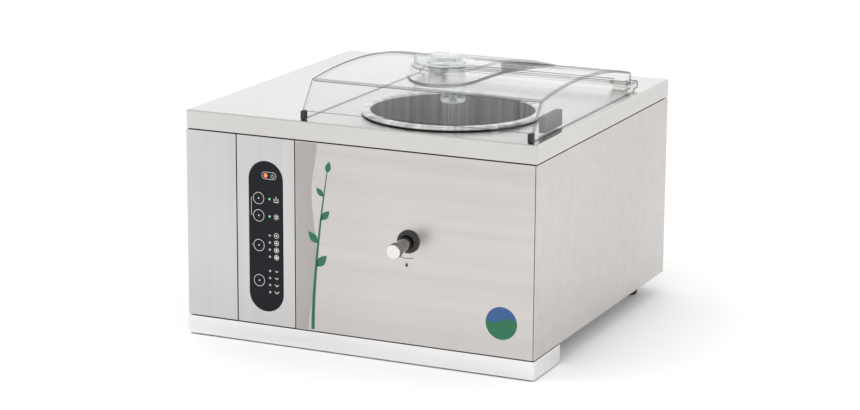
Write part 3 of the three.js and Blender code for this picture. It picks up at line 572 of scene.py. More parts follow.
def tiled(outline, holes=(), extra=()):
    """Triangles over a flat outline with holes: (points, triangles). The loops' points come first."""
    points, edges = [], []
    for loop in (outline, *holes):
        start = len(points)
        points += [Vector(p[:2]) for p in loop]
        edges += [(start + k, start + (k + 1) % len(loop)) for k in range(len(loop))]
    points += [Vector(p[:2]) for p in extra]
    found, _, faces, _, _, _ = delaunay_2d_cdt(points, edges, [], 0, 1e-7)
    kept = []
    for face in faces:
        centre = sum((found[k] for k in face), Vector((0, 0))) / len(face)
        if inside(centre, outline) and not any(inside(centre, hole) for hole in holes):
            kept.append(face)
    return found, kept


def slab(made, outline, holes, low, high, place):
    """Adds a plate of a flat outline with holes, from low to high along the local Z of place."""
    points, faces = tiled(outline, holes)
    bottom = [made.verts.new(place @ Vector((*p, low))) for p in points]
    top = [made.verts.new(place @ Vector((*p, high))) for p in points]
    for face in faces:
        made.faces.new([top[k] for k in face])
        made.faces.new([bottom[k] for k in reversed(face)])
    start = 0
    for loop in (outline, *holes):
        count = len(loop)
        for k in range(count):
            a, b = start + k, start + (k + 1) % count
            made.faces.new((bottom[a], bottom[b], top[b], top[a]))
        start += count
    return made


def softened(made, offset, segments=2, chosen=None):
    """Rounds every sharp edge, or only chosen ones, once flat triangles are merged."""
    bmesh.ops.remove_doubles(made, verts=made.verts, dist=1e-6)
    bmesh.ops.dissolve_limit(made, angle_limit=radians(0.5), verts=made.verts, edges=made.edges)
    sharp = [edge for edge in made.edges if len(edge.link_faces) == 2
             and edge.calc_face_angle() > radians(50) and (chosen is None or chosen(edge))]
    bmesh.ops.bevel(made, geom=sharp, offset=offset, segments=segments, profile=0.5, affect="EDGES",
                    clamp_overlap=True)
    return made


def from_cad(node, offset, segments=2):
    """A bmesh of a CAD node with its coplanar triangles merged and its sharp edges rounded."""
    made = bmesh.new()
    made.from_mesh(frame["nodes"][node].data)
    return softened(made, offset, segments)


def circle(x, y, radius, steps=48):
    turns = [2 * pi * k / steps for k in range(steps)]
    return [(x + radius * cos(turn), y + radius * sin(turn)) for turn in turns]


def stroke(points, width, closed=False):
    """The two sides of a line of points drawn with one width."""
    line = [Vector(p) for p in points]
    count = len(line)
    left, right = [], []
    for i, here in enumerate(line):
        before = line[i - 1] if closed or i else here
        after = line[(i + 1) % count] if closed or i < count - 1 else here
        steps = [(b - a).normalized() for a, b in ((before, here), (here, after)) if (b - a).length > 1e-9]
        along = sum(steps, Vector((0, 0))).normalized()
        lean = max(along.dot(steps[0]), 0.4)
        aside = Vector((-along.y, along.x)) * (width / 2 / lean)
        left.append(here + aside)
        right.append(here - aside)
    return left, right


def line_slab(made, points, width, low, high, place, closed=False):
    left, right = stroke(points, width, closed)
    if closed:
        outer, inner = sorted((left, right), key=enclosed, reverse=True)
        return slab(made, outer, [inner], low, high, place)
    return slab(made, left + right[::-1], [], low, high, place)


def enclosed(loop):
    """The area inside a closed loop."""
    return abs(sum(a[0] * b[1] - a[1] * b[0] for a, b in zip(loop, loop[1:] + loop[:1]))) / 2


def block(made, low, high):
    """Adds a box between two corners, as a tool to cut with."""
    outline = [(low[0], low[1]), (high[0], low[1]), (high[0], high[1]), (low[0], high[1])]
    return slab(made, outline, [], low[2], high[2], Matrix.Identity(4))


def combine(thing, made, operation):
    """Cuts a bmesh from a piece, or joins it on, through a Boolean modifier."""
    bmesh.ops.recalc_face_normals(made, faces=made.faces)
    mesh = bpy.data.meshes.new(thing.name + "_tool")
    made.to_mesh(mesh)
    made.free()
    tool = bpy.data.objects.new(thing.name + "_tool", mesh)
    bpy.context.scene.collection.objects.link(tool)
    tool.hide_render = True
    step = thing.modifiers.new(operation.lower(), "BOOLEAN")
    step.operation, step.object, step.solver = operation, tool, "EXACT"


def applied(thing, crease):
    """Turns a piece's modifiers into mesh, and removes the tools that they used."""
    bpy.context.view_layer.update()
    result = bpy.data.meshes.new_from_object(thing.evaluated_get(bpy.context.evaluated_depsgraph_get()))
    tools = [step.object for step in thing.modifiers if step.type == "BOOLEAN"]
    thing.modifiers.clear()
    thing.data = result
    for tool in tools:
        bpy.data.objects.remove(tool)
    result.shade_smooth()
    result.set_sharp_from_angle(angle=crease)
    steady(thing)


# ---------- cabinet ----------

class Making:
    """What every operator of this add-on shares."""

    bl_options = {"REGISTER", "UNDO"}


class AddCabinetSheets(Making, bpy.types.Operator):
    """Adds the side, front, rear and fascia panels and the plinth, with bent edges"""
    bl_idname = "ice_cream.cabinet_sheets"
    bl_label = "Cabinet Sheets"

    def execute(self, context):
        rows = {"left_panel": "fascia_steel", "control_fascia": "fascia_steel",
                "right_panel": "brushed_steel", "front_panel": "brushed_steel",
                "rear_panel": "brushed_steel", "plinth": "plinth_steel"}
        for node, finish in rows.items():
            made = from_cad(node, settings().cabinet.bend / 2)
            piece(node + "_sheet", made, CABINET, "brushed_steel", [node], finish)
        return {"FINISHED"}


class AddDeck(Making, bpy.types.Operator):
    """Adds the deck, a tray turned upside down with rounded edges and the bowl's opening"""
    bl_idname = "ice_cream.deck"
    bl_label = "Deck"

    def execute(self, context):
        low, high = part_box("deck")
        made = bmesh.new()
        made.from_mesh(frame["nodes"]["deck"].data)

        def on_outside(edge):
            spot = (edge.verts[0].co + edge.verts[1].co) / 2
            walls = sum(abs(spot[k] - side[k]) < 1e-5 for k in (0, 1) for side in (low, high))
            return walls + (abs(spot.z - high.z) < 1e-5) > 1

        softened(made, settings().cabinet.deck_edge, 4, on_outside)
        softened(made, 0.3 * MM, 1)
        piece("deck_sheet", made, CABINET, "brushed_steel", ["deck"], "deck_steel")
        return {"FINISHED"}


class AddRearFittings(Making, bpy.types.Operator):
    """Adds the mains switch, the inlet, its pins and the rear panel's screws"""
    bl_idname = "ice_cream.rear_fittings"
    bl_label = "Rear Fittings"

    def execute(self, context):
        rows = {"switch_housing": CABINET, "power_inlet": CABINET, "switch_rocker": "switch_rocker"}
        for node, body in rows.items():
            piece(node + "_moulding", from_cad(node, 0.6 * MM), body, "black_plastic", [node])
        low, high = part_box("rear_panel")
        screws = bmesh.new()
        head = profile([(0, 1.5, 0), (2.2, 1.4, 0.6), (3.6, 0.3, 0.4), (3.6, 0, 0), (0, 0, 0)])
        for x in (low.x + 12 * MM, high.x - 12 * MM):
            for z in (low.z + 10 * MM, middle("rear_panel").z, high.z - 10 * MM):
                lathe(screws, head, axes_at((x, high.y, z), (0, 1, 0)), 24)
        piece("rear_screws", screws, CABINET, "plain_steel")
        return {"FINISHED"}


class AddFeet(Making, bpy.types.Operator):
    """Adds the four rubber feet"""
    bl_idname = "ice_cream.feet"
    bl_label = "Feet"

    def execute(self, context):
        for node in ("foot_front_left", "foot_front_right", "foot_rear_left", "foot_rear_right"):
            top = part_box(node)[1].z / MM
            shape = [(0, 0, 0), (13, 0, 1.2), (15, 12, 2), (15, top, 0.8), (0, top, 0)]
            turned(node + "_rubber", shape, upright(node), 48, CABINET, "black_rubber", [node])
        return {"FINISHED"}


# ---------- bowl and drain ----------

class AddBowl(Making, bpy.types.Operator):
    """Adds the bowl with its rounded floor, rolled rim and centre collar, and the gasket under the rim"""
    bl_idname = "ice_cream.bowl"
    bl_label = "Bowl"

    def execute(self, context):
        bowl = settings().bowl
        low, high = (point.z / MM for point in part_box("bowl"))
        inner, rim, wall = bowl.inner / MM, bowl.rim / MM, 1.2
        floor, collar = low + 1.5, 9.0
        shape = [
            (collar - wall, 182, 0.3), (collar, 182, 0.3), (collar, floor, 3), (inner, floor, 9),
            (inner, high, 2.5), (rim, high, 2.2), (rim, high - 3.8, 0.4), (rim - wall, high - 3.8, 0.4),
            (rim - wall, high - wall, 1), (inner + wall, high - wall, 1.3), (inner + wall, low, 9.6),
            (collar - wall, low, 0.6)]
        shell = turned("bowl_shell", shape, upright("bowl"), 128, CABINET, "bowl_steel", ["bowl"], steps=6)
        outlet = bmesh.new()
        slab(outlet, pairs(circle(*SUMP, 5.6, 32)), [], (low - 2) * MM, (floor + 2) * MM,
             Matrix.Translation((0, BACK, 0)))
        combine(shell, outlet, "DIFFERENCE")
        applied(shell, radians(35))
        low, high = (point.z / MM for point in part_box("bowl_gasket"))
        turned("bowl_gasket_ring", washer(inner + 6, inner + 9, low, high, 0.2), upright("bowl"), 96, CABINET,
               "black_rubber", ["bowl_gasket"], steps=2)
        return {"FINISHED"}


class AddDrain(Making, bpy.types.Operator):
    """Adds the drain spout, its grommet and the pull-out plug with two sealing rings"""
    bl_idname = "ice_cream.drain"
    bl_label = "Drain"

    def execute(self, context):
        row = next(joint for joint in frame["joints"] if joint["name"] == "drain_plug_pull")
        centre = middle("drain_grommet")
        mouth = (centre.x, FRONT, centre.z)
        slope, level = axes_at(mouth, Vector(row["axis"])), axes_at(mouth, (0, -1, 0))
        outer, inner, reach = 7.5, 5.6, 31
        spout = [(inner, -53, 0), (outer, -53, 0), (outer, reach, 0.7), (inner, reach, 0.7)]
        made = lathe(bmesh.new(), profile(spout, 3), slope, 48)
        lathe(made, profile(washer(inner, outer, 149, 160.1, 0), 1), Matrix.Translation(at(*SUMP, 0)), 48)
        # The spout's finish is the bowl's steel with painted shade.
        piece("drain_spout", made, CABINET, "bowl_steel", ["drain_pipe"], "spout_steel")
        collar = [(8, -6, 0.5), (12.5, -6, 0.5), (12.5, -1.9, 0.3), (10.4, -1.9, 0.3), (10.4, 0.4, 0.3),
                  (13.6, 0.4, 0.4), (13.6, 2.6, 1.2), (12, 4.6, 1.2), (8, 4.9, 0.8)]
        turned("drain_grommet_ring", collar, level, 64, CABINET, "black_rubber", ["drain_grommet"])
        start, groove = reach + 0.4, 6.6
        plug = [
            (0, start - 46, 0), (4.4, start - 46, 0.6), (5.2, start - 44, 0.6), (5.2, start, 0.3),
            (8, start, 0.4), (8, start + 1.6, 0.3), (groove, start + 1.6, 0), (groove, start + 4, 0),
            (8.2, start + 4, 0.3), (8.2, start + 5.6, 0.3), (groove, start + 5.6, 0), (groove, start + 8, 0),
            (8.4, start + 8, 0.3), (8.4, start + 10.6, 0.8), (0, start + 10.6, 0)]
        turned("drain_plug_turned", plug, slope, 48, "drain_plug", "bowl_steel", ["drain_plug"], "plug_steel")
        for node, back in (("plug_ring_inner", start + 1.7), ("plug_ring_outer", start + 5.7)):
            ring = [(groove + 0.1, back, 0.3), (8.7, back, 0.9), (8.7, back + 2.2, 0.9),
                    (groove + 0.1, back + 2.2, 0.3)]
            turned(node + "_seal", ring, slope, 48, "drain_plug", "black_rubber", [node])
        return {"FINISHED"}


class AddStirrer(Making, bpy.types.Operator):
    """Adds the stirrer, a tube with two windowed scrapers, and the clear nut that holds it down"""
    bl_idname = "ice_cream.stirrer"
    bl_label = "Stirrer"

    def execute(self, context):
        bottom, top = (point.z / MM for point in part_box("stirrer"))
        tube = [(9.6, bottom, 0.4), (13.5, bottom, 0.4), (13.5, top, 1.2), (6.5, top, 0.6),
                (6.5, top - 9, 0.2), (9.6, top - 9, 0.2)]
        turned("stirrer_tube", tube, upright("stirrer"), 64, "stirrer", "bowl_steel", ["stirrer"], steps=3)
        centre = middle("stirrer")
        scraper = bmesh.new()
        heights = (bottom + 1, bottom + 16, 218, 232)
        steps, window = 24, range(6, 20)
        for way in (1, -1):
            grid = []
            for k in range(steps + 1):
                part = k / steps
                x = way * (2 * part * (1 - part) * 26 + part * part * 6)
                y = way * ((1 - part) ** 2 * 11.5 + 2 * part * (1 - part) * 45.75 + part * part * 91.5)
                grid.append([scraper.verts.new((centre.x + x * MM, centre.y + y * MM, z * MM))
                             for z in heights])
            for k, (a, b) in enumerate(zip(grid, grid[1:])):
                for j in range(3):
                    if not (j == 1 and k in window):
                        scraper.faces.new((a[j], b[j], b[j + 1], a[j + 1]))
        thing = piece("stirrer_scrapers", scraper, "stirrer", "bowl_steel")
        thick = thing.modifiers.new("sheet", "SOLIDIFY")
        thick.thickness, thick.offset = 3.4 * MM, 0
        edge = thing.modifiers.new("edge", "BEVEL")
        edge.width, edge.segments, edge.limit_method = 0.6 * MM, 2, "ANGLE"
        applied(thing, radians(35))
        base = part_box("stirrer_nut")[0].z / MM
        nut = [(0, base + 14, 0), (14.2, base + 14, 1.8), (14.2, base + 3.6, 0.4), (15, base + 3.2, 0.4),
               (15.4, base + 1.5, 0.8), (15, base, 0.4), (4.6, base, 0.2), (4.6, base + 10.5, 0.3),
               (0, base + 10.5, 0)]
        turned("stirrer_nut_moulding", nut, upright("stirrer_nut"), 64, "stirrer", "clear_plastic",
               ["stirrer_nut"], "clear_knob")
        return {"FINISHED"}


# ---------- controls and films ----------

class AddKeypad(Making, bpy.types.Operator):
    """Adds the keypad's film and its four keys"""
    bl_idname = "ice_cream.keypad"
    bl_label = "Keypad"

    def execute(self, context):
        piece("keypad_moulding", from_cad("keypad", 0.4 * MM), CABINET, "keypad_film", ["keypad"])
        for node in KEYS:
            low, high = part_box(node)
            radius, deep = (high.x - low.x) / 2 / MM, (high.y - low.y) / MM
            spot = middle(node)
            shape = profile([(0, 0.15, 0), (4.4, 0.15, 0.8), (4.9, 0, 0.6), (radius, 0, 0.8),
                             (radius, deep, 0), (0, deep, 0)])
            place = axes_at((spot.x, low.y, spot.z), (0, -1, 0))
            made = lathe(bmesh.new(), [(r, -h) for r, h in shape], place, 48)
            piece(node + "_cap", made, node, "keypad_film", [node])
        return {"FINISHED"}


class AddLamps(Making, bpy.types.Operator):
    """Adds the column of status lamps and the power lamp as small domes"""
    bl_idname = "ice_cream.lamps"
    bl_label = "Lamps"

    def execute(self, context):
        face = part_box("keypad")[0].y
        column = [(LAMP_X, z) for z in LAMP_HEIGHTS]
        rows = (("lamp_orange", "power_lamp", 2.5, [POWER_LAMP]),
                ("lamp_green", "status_lamps_green", 1.4, column[:2]),
                ("lamp_white", "status_lamps_white", 1.4, column[2:]))
        for slot, name, radius, spots in rows:
            made = bmesh.new()
            dome = profile([(0, 0.28, 0), (radius * 0.7, 0.2, radius * 0.4), (radius, 0, 0), (0, 0, 0)])
            for x, z in spots:
                lathe(made, dome, axes_at((x * MM, face, z * MM), (0, -1, 0)), 24)
            piece(name, made, CABINET, slot)
        return {"FINISHED"}


class AddKeypadPrint(Making, bpy.types.Operator):
    """Adds the plain symbols printed on the keypad and on its keys"""
    bl_idname = "ice_cream.keypad_print"
    bl_label = "Keypad Print"

    def execute(self, context):
        plane = facing_front(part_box("keypad")[0].y)
        width, thick = settings().keypad.line, 0.06 * MM
        made = bmesh.new()

        def line(points, closed=False, weight=1.0):
            line_slab(made, pairs(points), width * weight, 0, thick, plane, closed)

        def arc(x, z, radius, first, last):
            turns = [radians(a) for a in range(first, last + 1, 15)]
            return [(x + radius * cos(t), z + radius * sin(t)) for t in turns]

        left, right, z = -123.2, -104.4, POWER_LAMP[1]
        line(arc(right - 4.2, z, 4.2, -90, 90) + arc(left + 4.2, z, 4.2, 90, 270), True)
        line(arc(-109.2, 206.6, 2.1, -230, 55)[::-1])
        line([(-109.2, z), (-109.2, 209.4)])
        line([(-136.0, 178.6), (-137.5, 178.6), (-137.5, 157.6), (-136.0, 157.6)])
        line([(-137.5, 121.5), (-136.1, 121.5)])
        x, z = SYMBOL_X, 178.7
        line([(x, z + 3.6), (x, z - 1.2)], weight=1.8)
        line([(x - 2.6, z + 1.2), (x - 2.6, z - 3.2), (x + 2.6, z - 3.2), (x + 2.6, z + 1.2)], weight=1.8)
        z = 157.6
        for k in range(3):
            dx, dz = 3.6 * cos(k * pi / 3 + pi / 2), 3.6 * sin(k * pi / 3 + pi / 2)
            line([(x - dx, z - dz), (x + dx, z + dz)], weight=1.7)
        for k in range(6):
            turn = k * pi / 3 + pi / 2
            cx, cz = x + 2.3 * cos(turn), z + 2.3 * sin(turn)
            ends = [(cx + 1.3 * cos(turn + lean), cz + 1.3 * sin(turn + lean)) for lean in (0.8, -0.8)]
            line([ends[0], (cx, cz), ends[1]])
        for k, z in enumerate((135.0, 126.0, 117.4, 108.6)):
            slab(made, pairs(circle(x, z, 1.1 + 0.2 * k, 16)), [], 0, thick, plane)
            line(circle(x, z, 2.9, 20), True, 1.4)
        for k, z in enumerate(LAMP_HEIGHTS[6:]):
            span = 1.7 + 0.45 * k
            line([(x - span, z + 0.5 * span), (x, z - 0.4 * span), (x + span, z + 0.5 * span)], weight=1.9)
        piece("keypad_symbols", made, CABINET, "keypad_print")
        for node in KEYS:
            spot, key = middle(node), facing_front(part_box(node)[0].y)
            marks = bmesh.new()
            line_slab(marks, circle(spot.x, spot.z, 7.0 * MM, 40), width * 1.3, 0, thick, key, True)
            slab(marks, circle(spot.x, spot.z, 0.9 * MM, 16), [], -0.15 * MM, thick, key)
            piece(node + "_ring", marks, node, "keypad_print")
        return {"FINISHED"}


class AddPanelFilms(Making, bpy.types.Operator):
    """Adds the grey band, the leafy sprig, the round disc and the drain symbol on the front panel"""
    bl_idname = "ice_cream.panel_films"
    bl_label = "Panel Films"

    def execute(self, context):
        plane, thick = facing_front(FRONT), settings().films.thickness

        def film(name, slot, layer, *loops):
            made = bmesh.new()
            for loop in loops:
                slab(made, pairs(loop), [], layer * thick, (layer + 1) * thick, plane)
            piece(name, made, CABINET, slot)

        low, high = (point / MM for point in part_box("front_panel"))
        turns = [(250, -51.4), (195, -58.2), (104, -50.8), (low.z, -63.0)]
        wave = []
        for (z0, x0), (z1, x1) in zip(turns, turns[1:]):
            wave += [(x0 + (x1 - x0) * (1 - cos(pi * k / 14)) / 2, z0 + (z1 - z0) * k / 14)
                     for k in range(14)]
        wave = [(wave[0][0], high.z - 1), *wave, (turns[-1][1], low.z + 1)]
        edge_x = low.x + 0.9
        film("side_band", "grey_film", 0, [(edge_x, low.z + 1), *reversed(wave), (edge_x, high.z - 1)])

        stem = [Vector((-57.0 + 19 * (k / 20) ** 1.6, 27 + 190 * k / 20)) for k in range(21)]
        left, right = [[spine + (rim - spine) * (1 - 0.75 * k / 20)
                        for k, (spine, rim) in enumerate(zip(stem, edge))] for edge in stroke(stem, 4.4)]
        green = [left + right[::-1]]
        for k, side, size in ((8, 1, 21), (11, -1, 19), (14, 1, 17), (17, -1, 14), (20, 1, 15)):
            root = stem[k]
            lean = radians(90 - side * (42 if k < 20 else 12))
            along = Vector((cos(lean), sin(lean)))
            aside = Vector((-along.y, along.x))
            green.append([
                root + along * size * (0.1 + 0.9 * t) + aside * (0.24 * size * sin(pi * t ** 0.8) * way)
                for way, run in ((1, range(0, 17)), (-1, range(15, 0, -1))) for t in [m / 16 for m in run]])
            near, far = stroke([root, root + along * size * 0.2], 0.9)
            green.append(near + far[::-1])
        film("leaf_sprig", "green_film", 1, *green)

        film("round_disc", "blue_film", 0, circle(184, 64.6, 19.4, 72))
        rim = [(184 + 19.4 * cos(t), 64.6 + 19.4 * sin(t)) for t in [radians(a) for a in range(170, 371, 5)]]
        crest = [(184 + 19.1 - 38.2 * k / 20, 67.9 + 3.0 * sin(k / 20 * 2 * pi)) for k in range(1, 20)]
        film("disc_lower_half", "green_film", 1, rim + crest)

        near, far = stroke([(56.4 + 16.8 * k / 12, 128.7 - 1.6 * sin(pi * k / 12)) for k in range(13)], 0.7)
        tear = [(64.7 + 2.1 * sin(t) * (1 - cos(t)) / 1.6, 120.2 + 2.9 * cos(t))
                for t in [2 * pi * k / 28 for k in range(28)]]
        film("drain_symbol", "black_film", 0, near + far[::-1], tear)
        return {"FINISHED"}


# ---------- lid ----------

def arch_height(y):
    """Height of the lid's arch over the frame's floor, in millimetres, at the cabinet's own y."""
    lid, crest = settings().lid, -85
    radius = lid.arch_radius / MM
    return DECK_TOP / MM + lid.arch_rise / MM - radius + sqrt(radius ** 2 - (y - crest) ** 2)


def offset_line(points, distance, first):
    """The points of an open line moved to its right by a distance; the first one moves along first."""
    moved = []
    for k, here in enumerate(points):
        ahead = (points[min(k + 1, len(points) - 1)] - points[max(k - 1, 0)]).normalized()
        normal = Vector((ahead.y, -ahead.x)) if k else Vector(first)
        moved.append(here + normal * distance)
    return moved


class Tongue:
    """The raised part of the lid round the feed port, with a round nose and sides that flare to the rear."""

    top, foot, head, flare, rear = 340.0, 49.0, 41.0, 26.0, 46.0
    fillet, share = 3.6, 0.24
    draft_from, draft_over = 300, 44

    def __init__(self):
        self.x, self.y = CAP_AXIS.x / MM, (CAP_AXIS.y - BACK) / MM

    def height(self, y):
        part = max(0.0, (y - self.y - self.head) / (self.rear - self.y - self.head))
        return self.top - (self.top - arch_height(self.rear)) * (0.35 * part + 0.65 * part * part)

    def ring(self, out, rise, flank=22, nose=14):
        """A line round the tongue's wall: out is its reach past the wall, rise its share of the height."""
        lean = atan(self.flare / (self.rear - self.y))
        side = []
        for k in range(flank + nose + 1):
            turn = -lean - (pi / 2 - lean) * max(k - flank, 0) / nose
            back = max(1 - k / flank, 0)
            start = self.y + self.foot * sin(turn)
            y = start + (self.rear - start) * back
            low = arch_height(y)
            wall = max(self.height(y) - low, 0)
            taper = (self.foot - self.head) * (low + wall * rise - self.draft_from) / self.draft_over
            radius = self.foot - taper + out * min(1, wall / 10)
            if back:
                x = radius * cos(turn) + (y - self.y - radius * sin(turn)) * tan(lean)
            else:
                x, y = radius * cos(turn), self.y + radius * sin(turn)
            low = arch_height(y)
            side.append((x, y, low + max(self.height(y) - low, 0) * rise))
        left = [Vector((self.x - x, y, z)) for x, y, z in side]
        right = [Vector((self.x + x, y, z)) for x, y, z in reversed(side[:-1])]
        return left + right

    def rings(self):
        quarter = [radians(a) for a in (0, 30, 60, 90)]
        low = [(self.fillet * (1 - sin(a)), self.share * (1 - cos(a))) for a in quarter]
        high = [(-self.fillet * (1 - cos(a)), 1 - self.share * (1 - sin(a))) for a in quarter]
        return [self.ring(out, rise) for out, rise in low + high]


def lid_shell():
    """The lid's outer surface; material 1 marks its bends with a darker tint that paints shade, and material
    2 the tongue's right flank with a dark tint that paints shade and reflection.
    """
    made = bmesh.new()
    lid = settings().lid
    low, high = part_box("lid")
    left, right, bottom = low.x / MM, high.x / MM, low.z / MM
    front, rear = (low.y - BACK) / MM, (high.y - BACK) / MM
    rounding, lean = lid.rounding / MM, lid.front_lean / MM
    arch_front, arch_rear, arch_steps = front + lean + 9, rear - 33, 26
    arch = [arch_front + (arch_rear - arch_front) * k / arch_steps for k in range(arch_steps + 1)]
    side = filleted([
        (front, bottom + 10.4, 0), (front + lean, arch_height(front + lean), 5),
        *((y, arch_height(y), 0) for y in arch),
        (rear - 26, arch_height(rear - 26), 5), (rear - 26, bottom + 12.4, 3),
        (rear, bottom + 12.4, 3.6), (rear, bottom + 2.9, 0)], False, 4)
    arch_start = Vector((arch[0], arch_height(arch[0])))
    first = min(range(len(side)), key=lambda k: (side[k] - arch_start).length)
    last = first + arch_steps
    stations = [left + rounding + (right - left - 2 * rounding) * k / 16 for k in range(17)]

    def corner(x, y, z):
        return made.verts.new(at(x, y, z))

    def skin(rows, bends):
        """Adds faces between rows of points; those between the rows numbered in bends get material 1, the
        darker tint that paints shade at the bends.
        """
        grid = [[corner(*spot) for spot in row] for row in rows]
        for row, (a, b) in enumerate(zip(grid, grid[1:])):
            for k in range(len(a) - 1):
                quad = (a[k], a[k + 1], b[k + 1], b[k])
                if len({tuple(round(c, 7) for c in v.co) for v in quad}) > 2:
                    made.faces.new(quad).material_index = row in bends

    for run, bends in ((side[:first + 1], (1, 2, 3, 4)), (side[last:], (2, 3, 7, 8, 12, 13))):
        skin([[(x, p.x, p.y) for x in stations] for p in run], bends)
    for edge, way in ((left, 1), (right, -1)):
        rows = []
        for k in range(6):
            turn = pi / 2 * k / 5
            line = offset_line(side, rounding * (1 - sin(turn)), (1.16, 0))
            rows.append([(edge + way * rounding * (1 - cos(turn)), p.x, p.y) for p in line])
        skin(rows, (0, 1, 2, 3, 4))
        wall = rows[0] + [(edge, rear - 13, bottom + 2.9), (edge, rear - 13, bottom),
                          (edge, front + 3.9, bottom)]
        made.faces.new([corner(*spot) for spot in wall])

    tongue = Tongue()
    rings = tongue.rings()
    skin(rings, (1, 5))
    made.normal_update()
    # Faces on the tongue's right flank get material 2, a dark tint that paints shade and reflection.
    for face in made.faces:
        spot = face.calc_center_median()
        upright_wall = abs(face.normal.x) > 0.5 and face.normal.z < 0.75 and spot.z > DECK_TOP + 24 * MM
        on_right = CAP_AXIS.x < spot.x < CAP_AXIS.x + 90 * MM
        if upright_wall and on_right and spot.y > CAP_AXIS.y + lid.flank:
            face.material_index = 2
    start, end = rings[0][0], rings[0][-1]
    joint = [(end.x + (start.x - end.x) * k / 12, tongue.rear) for k in range(1, 12)]
    outline = [(x, arch[0]) for x in stations] + [(stations[-1], y) for y in arch[1:]]
    outline += [(x, arch[-1]) for x in stations[-2::-1]] + [(stations[0], y) for y in arch[-2:0:-1]]
    grid = [(x, y) for x in stations[1:-1] for y in arch[1:-1]]
    foot, crown = ([(p.x, p.y) for p in ring] + joint for ring in (rings[0], rings[-1]))
    lip_radius = 30
    port = circle(tongue.x, tongue.y, 23.5, 64)
    lip = circle(tongue.x, tongue.y, lip_radius, 48)

    def clear_of(spot, *loops):
        return all((Vector(spot) - Vector(p)).length > 5 for loop in loops for p in loop)

    around = [p for p in grid if not inside(p, foot) and clear_of(p, foot)]
    within = [p for p in grid if inside(p, crown) and clear_of(p, crown, port, lip)
              and hypot(p[0] - tongue.x, p[1] - tongue.y) > lip_radius]
    for loop, hole, extra, height in ((outline, foot, around, arch_height),
                                      (crown, port, lip + within, tongue.height)):
        points, faces = tiled(loop, [hole], extra)
        corners = [corner(p.x, p.y, height(p.y)) for p in points]
        for face in faces:
            made.faces.new([corners[k] for k in face])
    bmesh.ops.remove_doubles(made, verts=made.verts, dist=0.02 * MM)
    return made


class AddLid(Making, bpy.types.Operator):
    """Adds the clear lid: an arched shell with a raised tongue, a feed port and two pairs of hinge lugs"""
    bl_idname = "ice_cream.lid"
    bl_label = "Lid"

    def execute(self, context):
        lugs, notches = bmesh.new(), bmesh.new()
        axis = middle("hinge_pin_left")
        top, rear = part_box("lid")[0].z + 12.4 * MM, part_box("lid")[1].y
        radius, width, sheet = 5 * MM, 5 * MM, radians(28)
        lug = [(axis.y + radius * cos(t), axis.z + radius * sin(t))
               for t in [radians(a) for a in range(180, 361, 9)]]
        lug += [(axis.y + radius, top - 1 * MM), (axis.y - radius, top - 1 * MM)]
        hole = circle(axis.y, axis.z, 2.4 * MM, 32)
        for node in ("hinge_bracket_left", "hinge_bracket_right"):
            low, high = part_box(node)
            a, b = low.x - 0.8 * MM, high.x + 0.8 * MM
            block(notches, (a, rear - 18 * MM, low.z - 2 * MM), (b, rear + 3 * MM, top + 3 * MM))
            for x in (a - width, b):
                across = Matrix(((0, 0, 1, x), (1, 0, 0, 0), (0, 1, 0, 0), (0, 0, 0, 1)))
                slab(lugs, lug, [hole], 0, width, across)
        thing = piece("lid_shell", lid_shell(), "lid", "clear_plastic", ["lid"], crease=sheet)
        # Material 1: painted shade at the bends and rims.
        thing.data.materials.append(look("clear_edge"))
        # Material 2: painted shade and reflection on the tongue's right flank.
        thing.data.materials.append(look("clear_smoke"))
        thick = thing.modifiers.new("wall", "SOLIDIFY")
        thick.thickness, thick.offset, thick.use_even_offset = settings().lid.wall, -1, True
        # The wall's rims get material 1, the painted shade.
        thick.material_offset_rim = 1
        combine(thing, notches, "DIFFERENCE")
        piece("lid_hinge_lugs", softened(lugs, 0.4 * MM), "lid", "clear_plastic")
        applied(thing, sheet)
        return {"FINISHED"}


class AddLidFittings(Making, bpy.types.Operator):
    """Adds the lid's pads, its safety magnet, and the hinge brackets and pins"""
    bl_idname = "ice_cream.lid_fittings"
    bl_label = "Lid Fittings"

    def execute(self, context):
        rows = (("lid_pad_left", "lid", "black_rubber", None), ("lid_pad_right", "lid", "black_rubber", None),
                ("lid_magnet", "lid", "grey_plastic", "magnet_plastic"),
                ("hinge_bracket_left", CABINET, "white_plastic", None),
                ("hinge_bracket_right", CABINET, "white_plastic", None),
                ("hinge_pin_left", CABINET, "plain_steel", None),
                ("hinge_pin_right", CABINET, "plain_steel", None))
        for node, body, slot, finish in rows:
            piece(node + "_part", from_cad(node, 0.5 * MM, 3), body, slot, [node], finish)
        return {"FINISHED"}


class AddFeedCap(Making, bpy.types.Operator):
    """Adds the clear feed cap, a hollow plug with a flange and a raised crown, and its seal"""
    bl_idname = "ice_cream.feed_cap"
    bl_label = "Feed Cap"

    def execute(self, context):
        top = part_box("feed_cap")[1].z / MM
        seat = top - 14.5
        shape = [
            (0, top, 0), (3.3, top, 0.8), (2.9, seat + 10.6, 1.2), (18.4, seat + 10.6, 2.2),
            (18.8, seat + 2.6, 1.6), (34, seat + 2.2, 0.9), (34, seat, 0.5), (22.4, seat, 0.3),
            (22.4, seat - 21, 0.6), (20.4, seat - 21, 0.6), (20.4, seat + 0.4, 1), (17, seat + 2.4, 1),
            (16.6, seat + 8.4, 1.4), (0, seat + 8.4, 0)]
        turned("feed_cap_moulding", shape, upright("feed_cap"), 96, "feed_cap", "clear_plastic", ["feed_cap"],
               "clear_knob")
        low, high = (point.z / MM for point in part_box("feed_cap_seal"))
        turned("feed_cap_ring", washer(23, 31, low, high, 0.35), upright("feed_cap_seal"), 72, "feed_cap",
               "clear_plastic", ["feed_cap_seal"], "clear_knob")
        return {"FINISHED"}


# ---------- machinery ----------

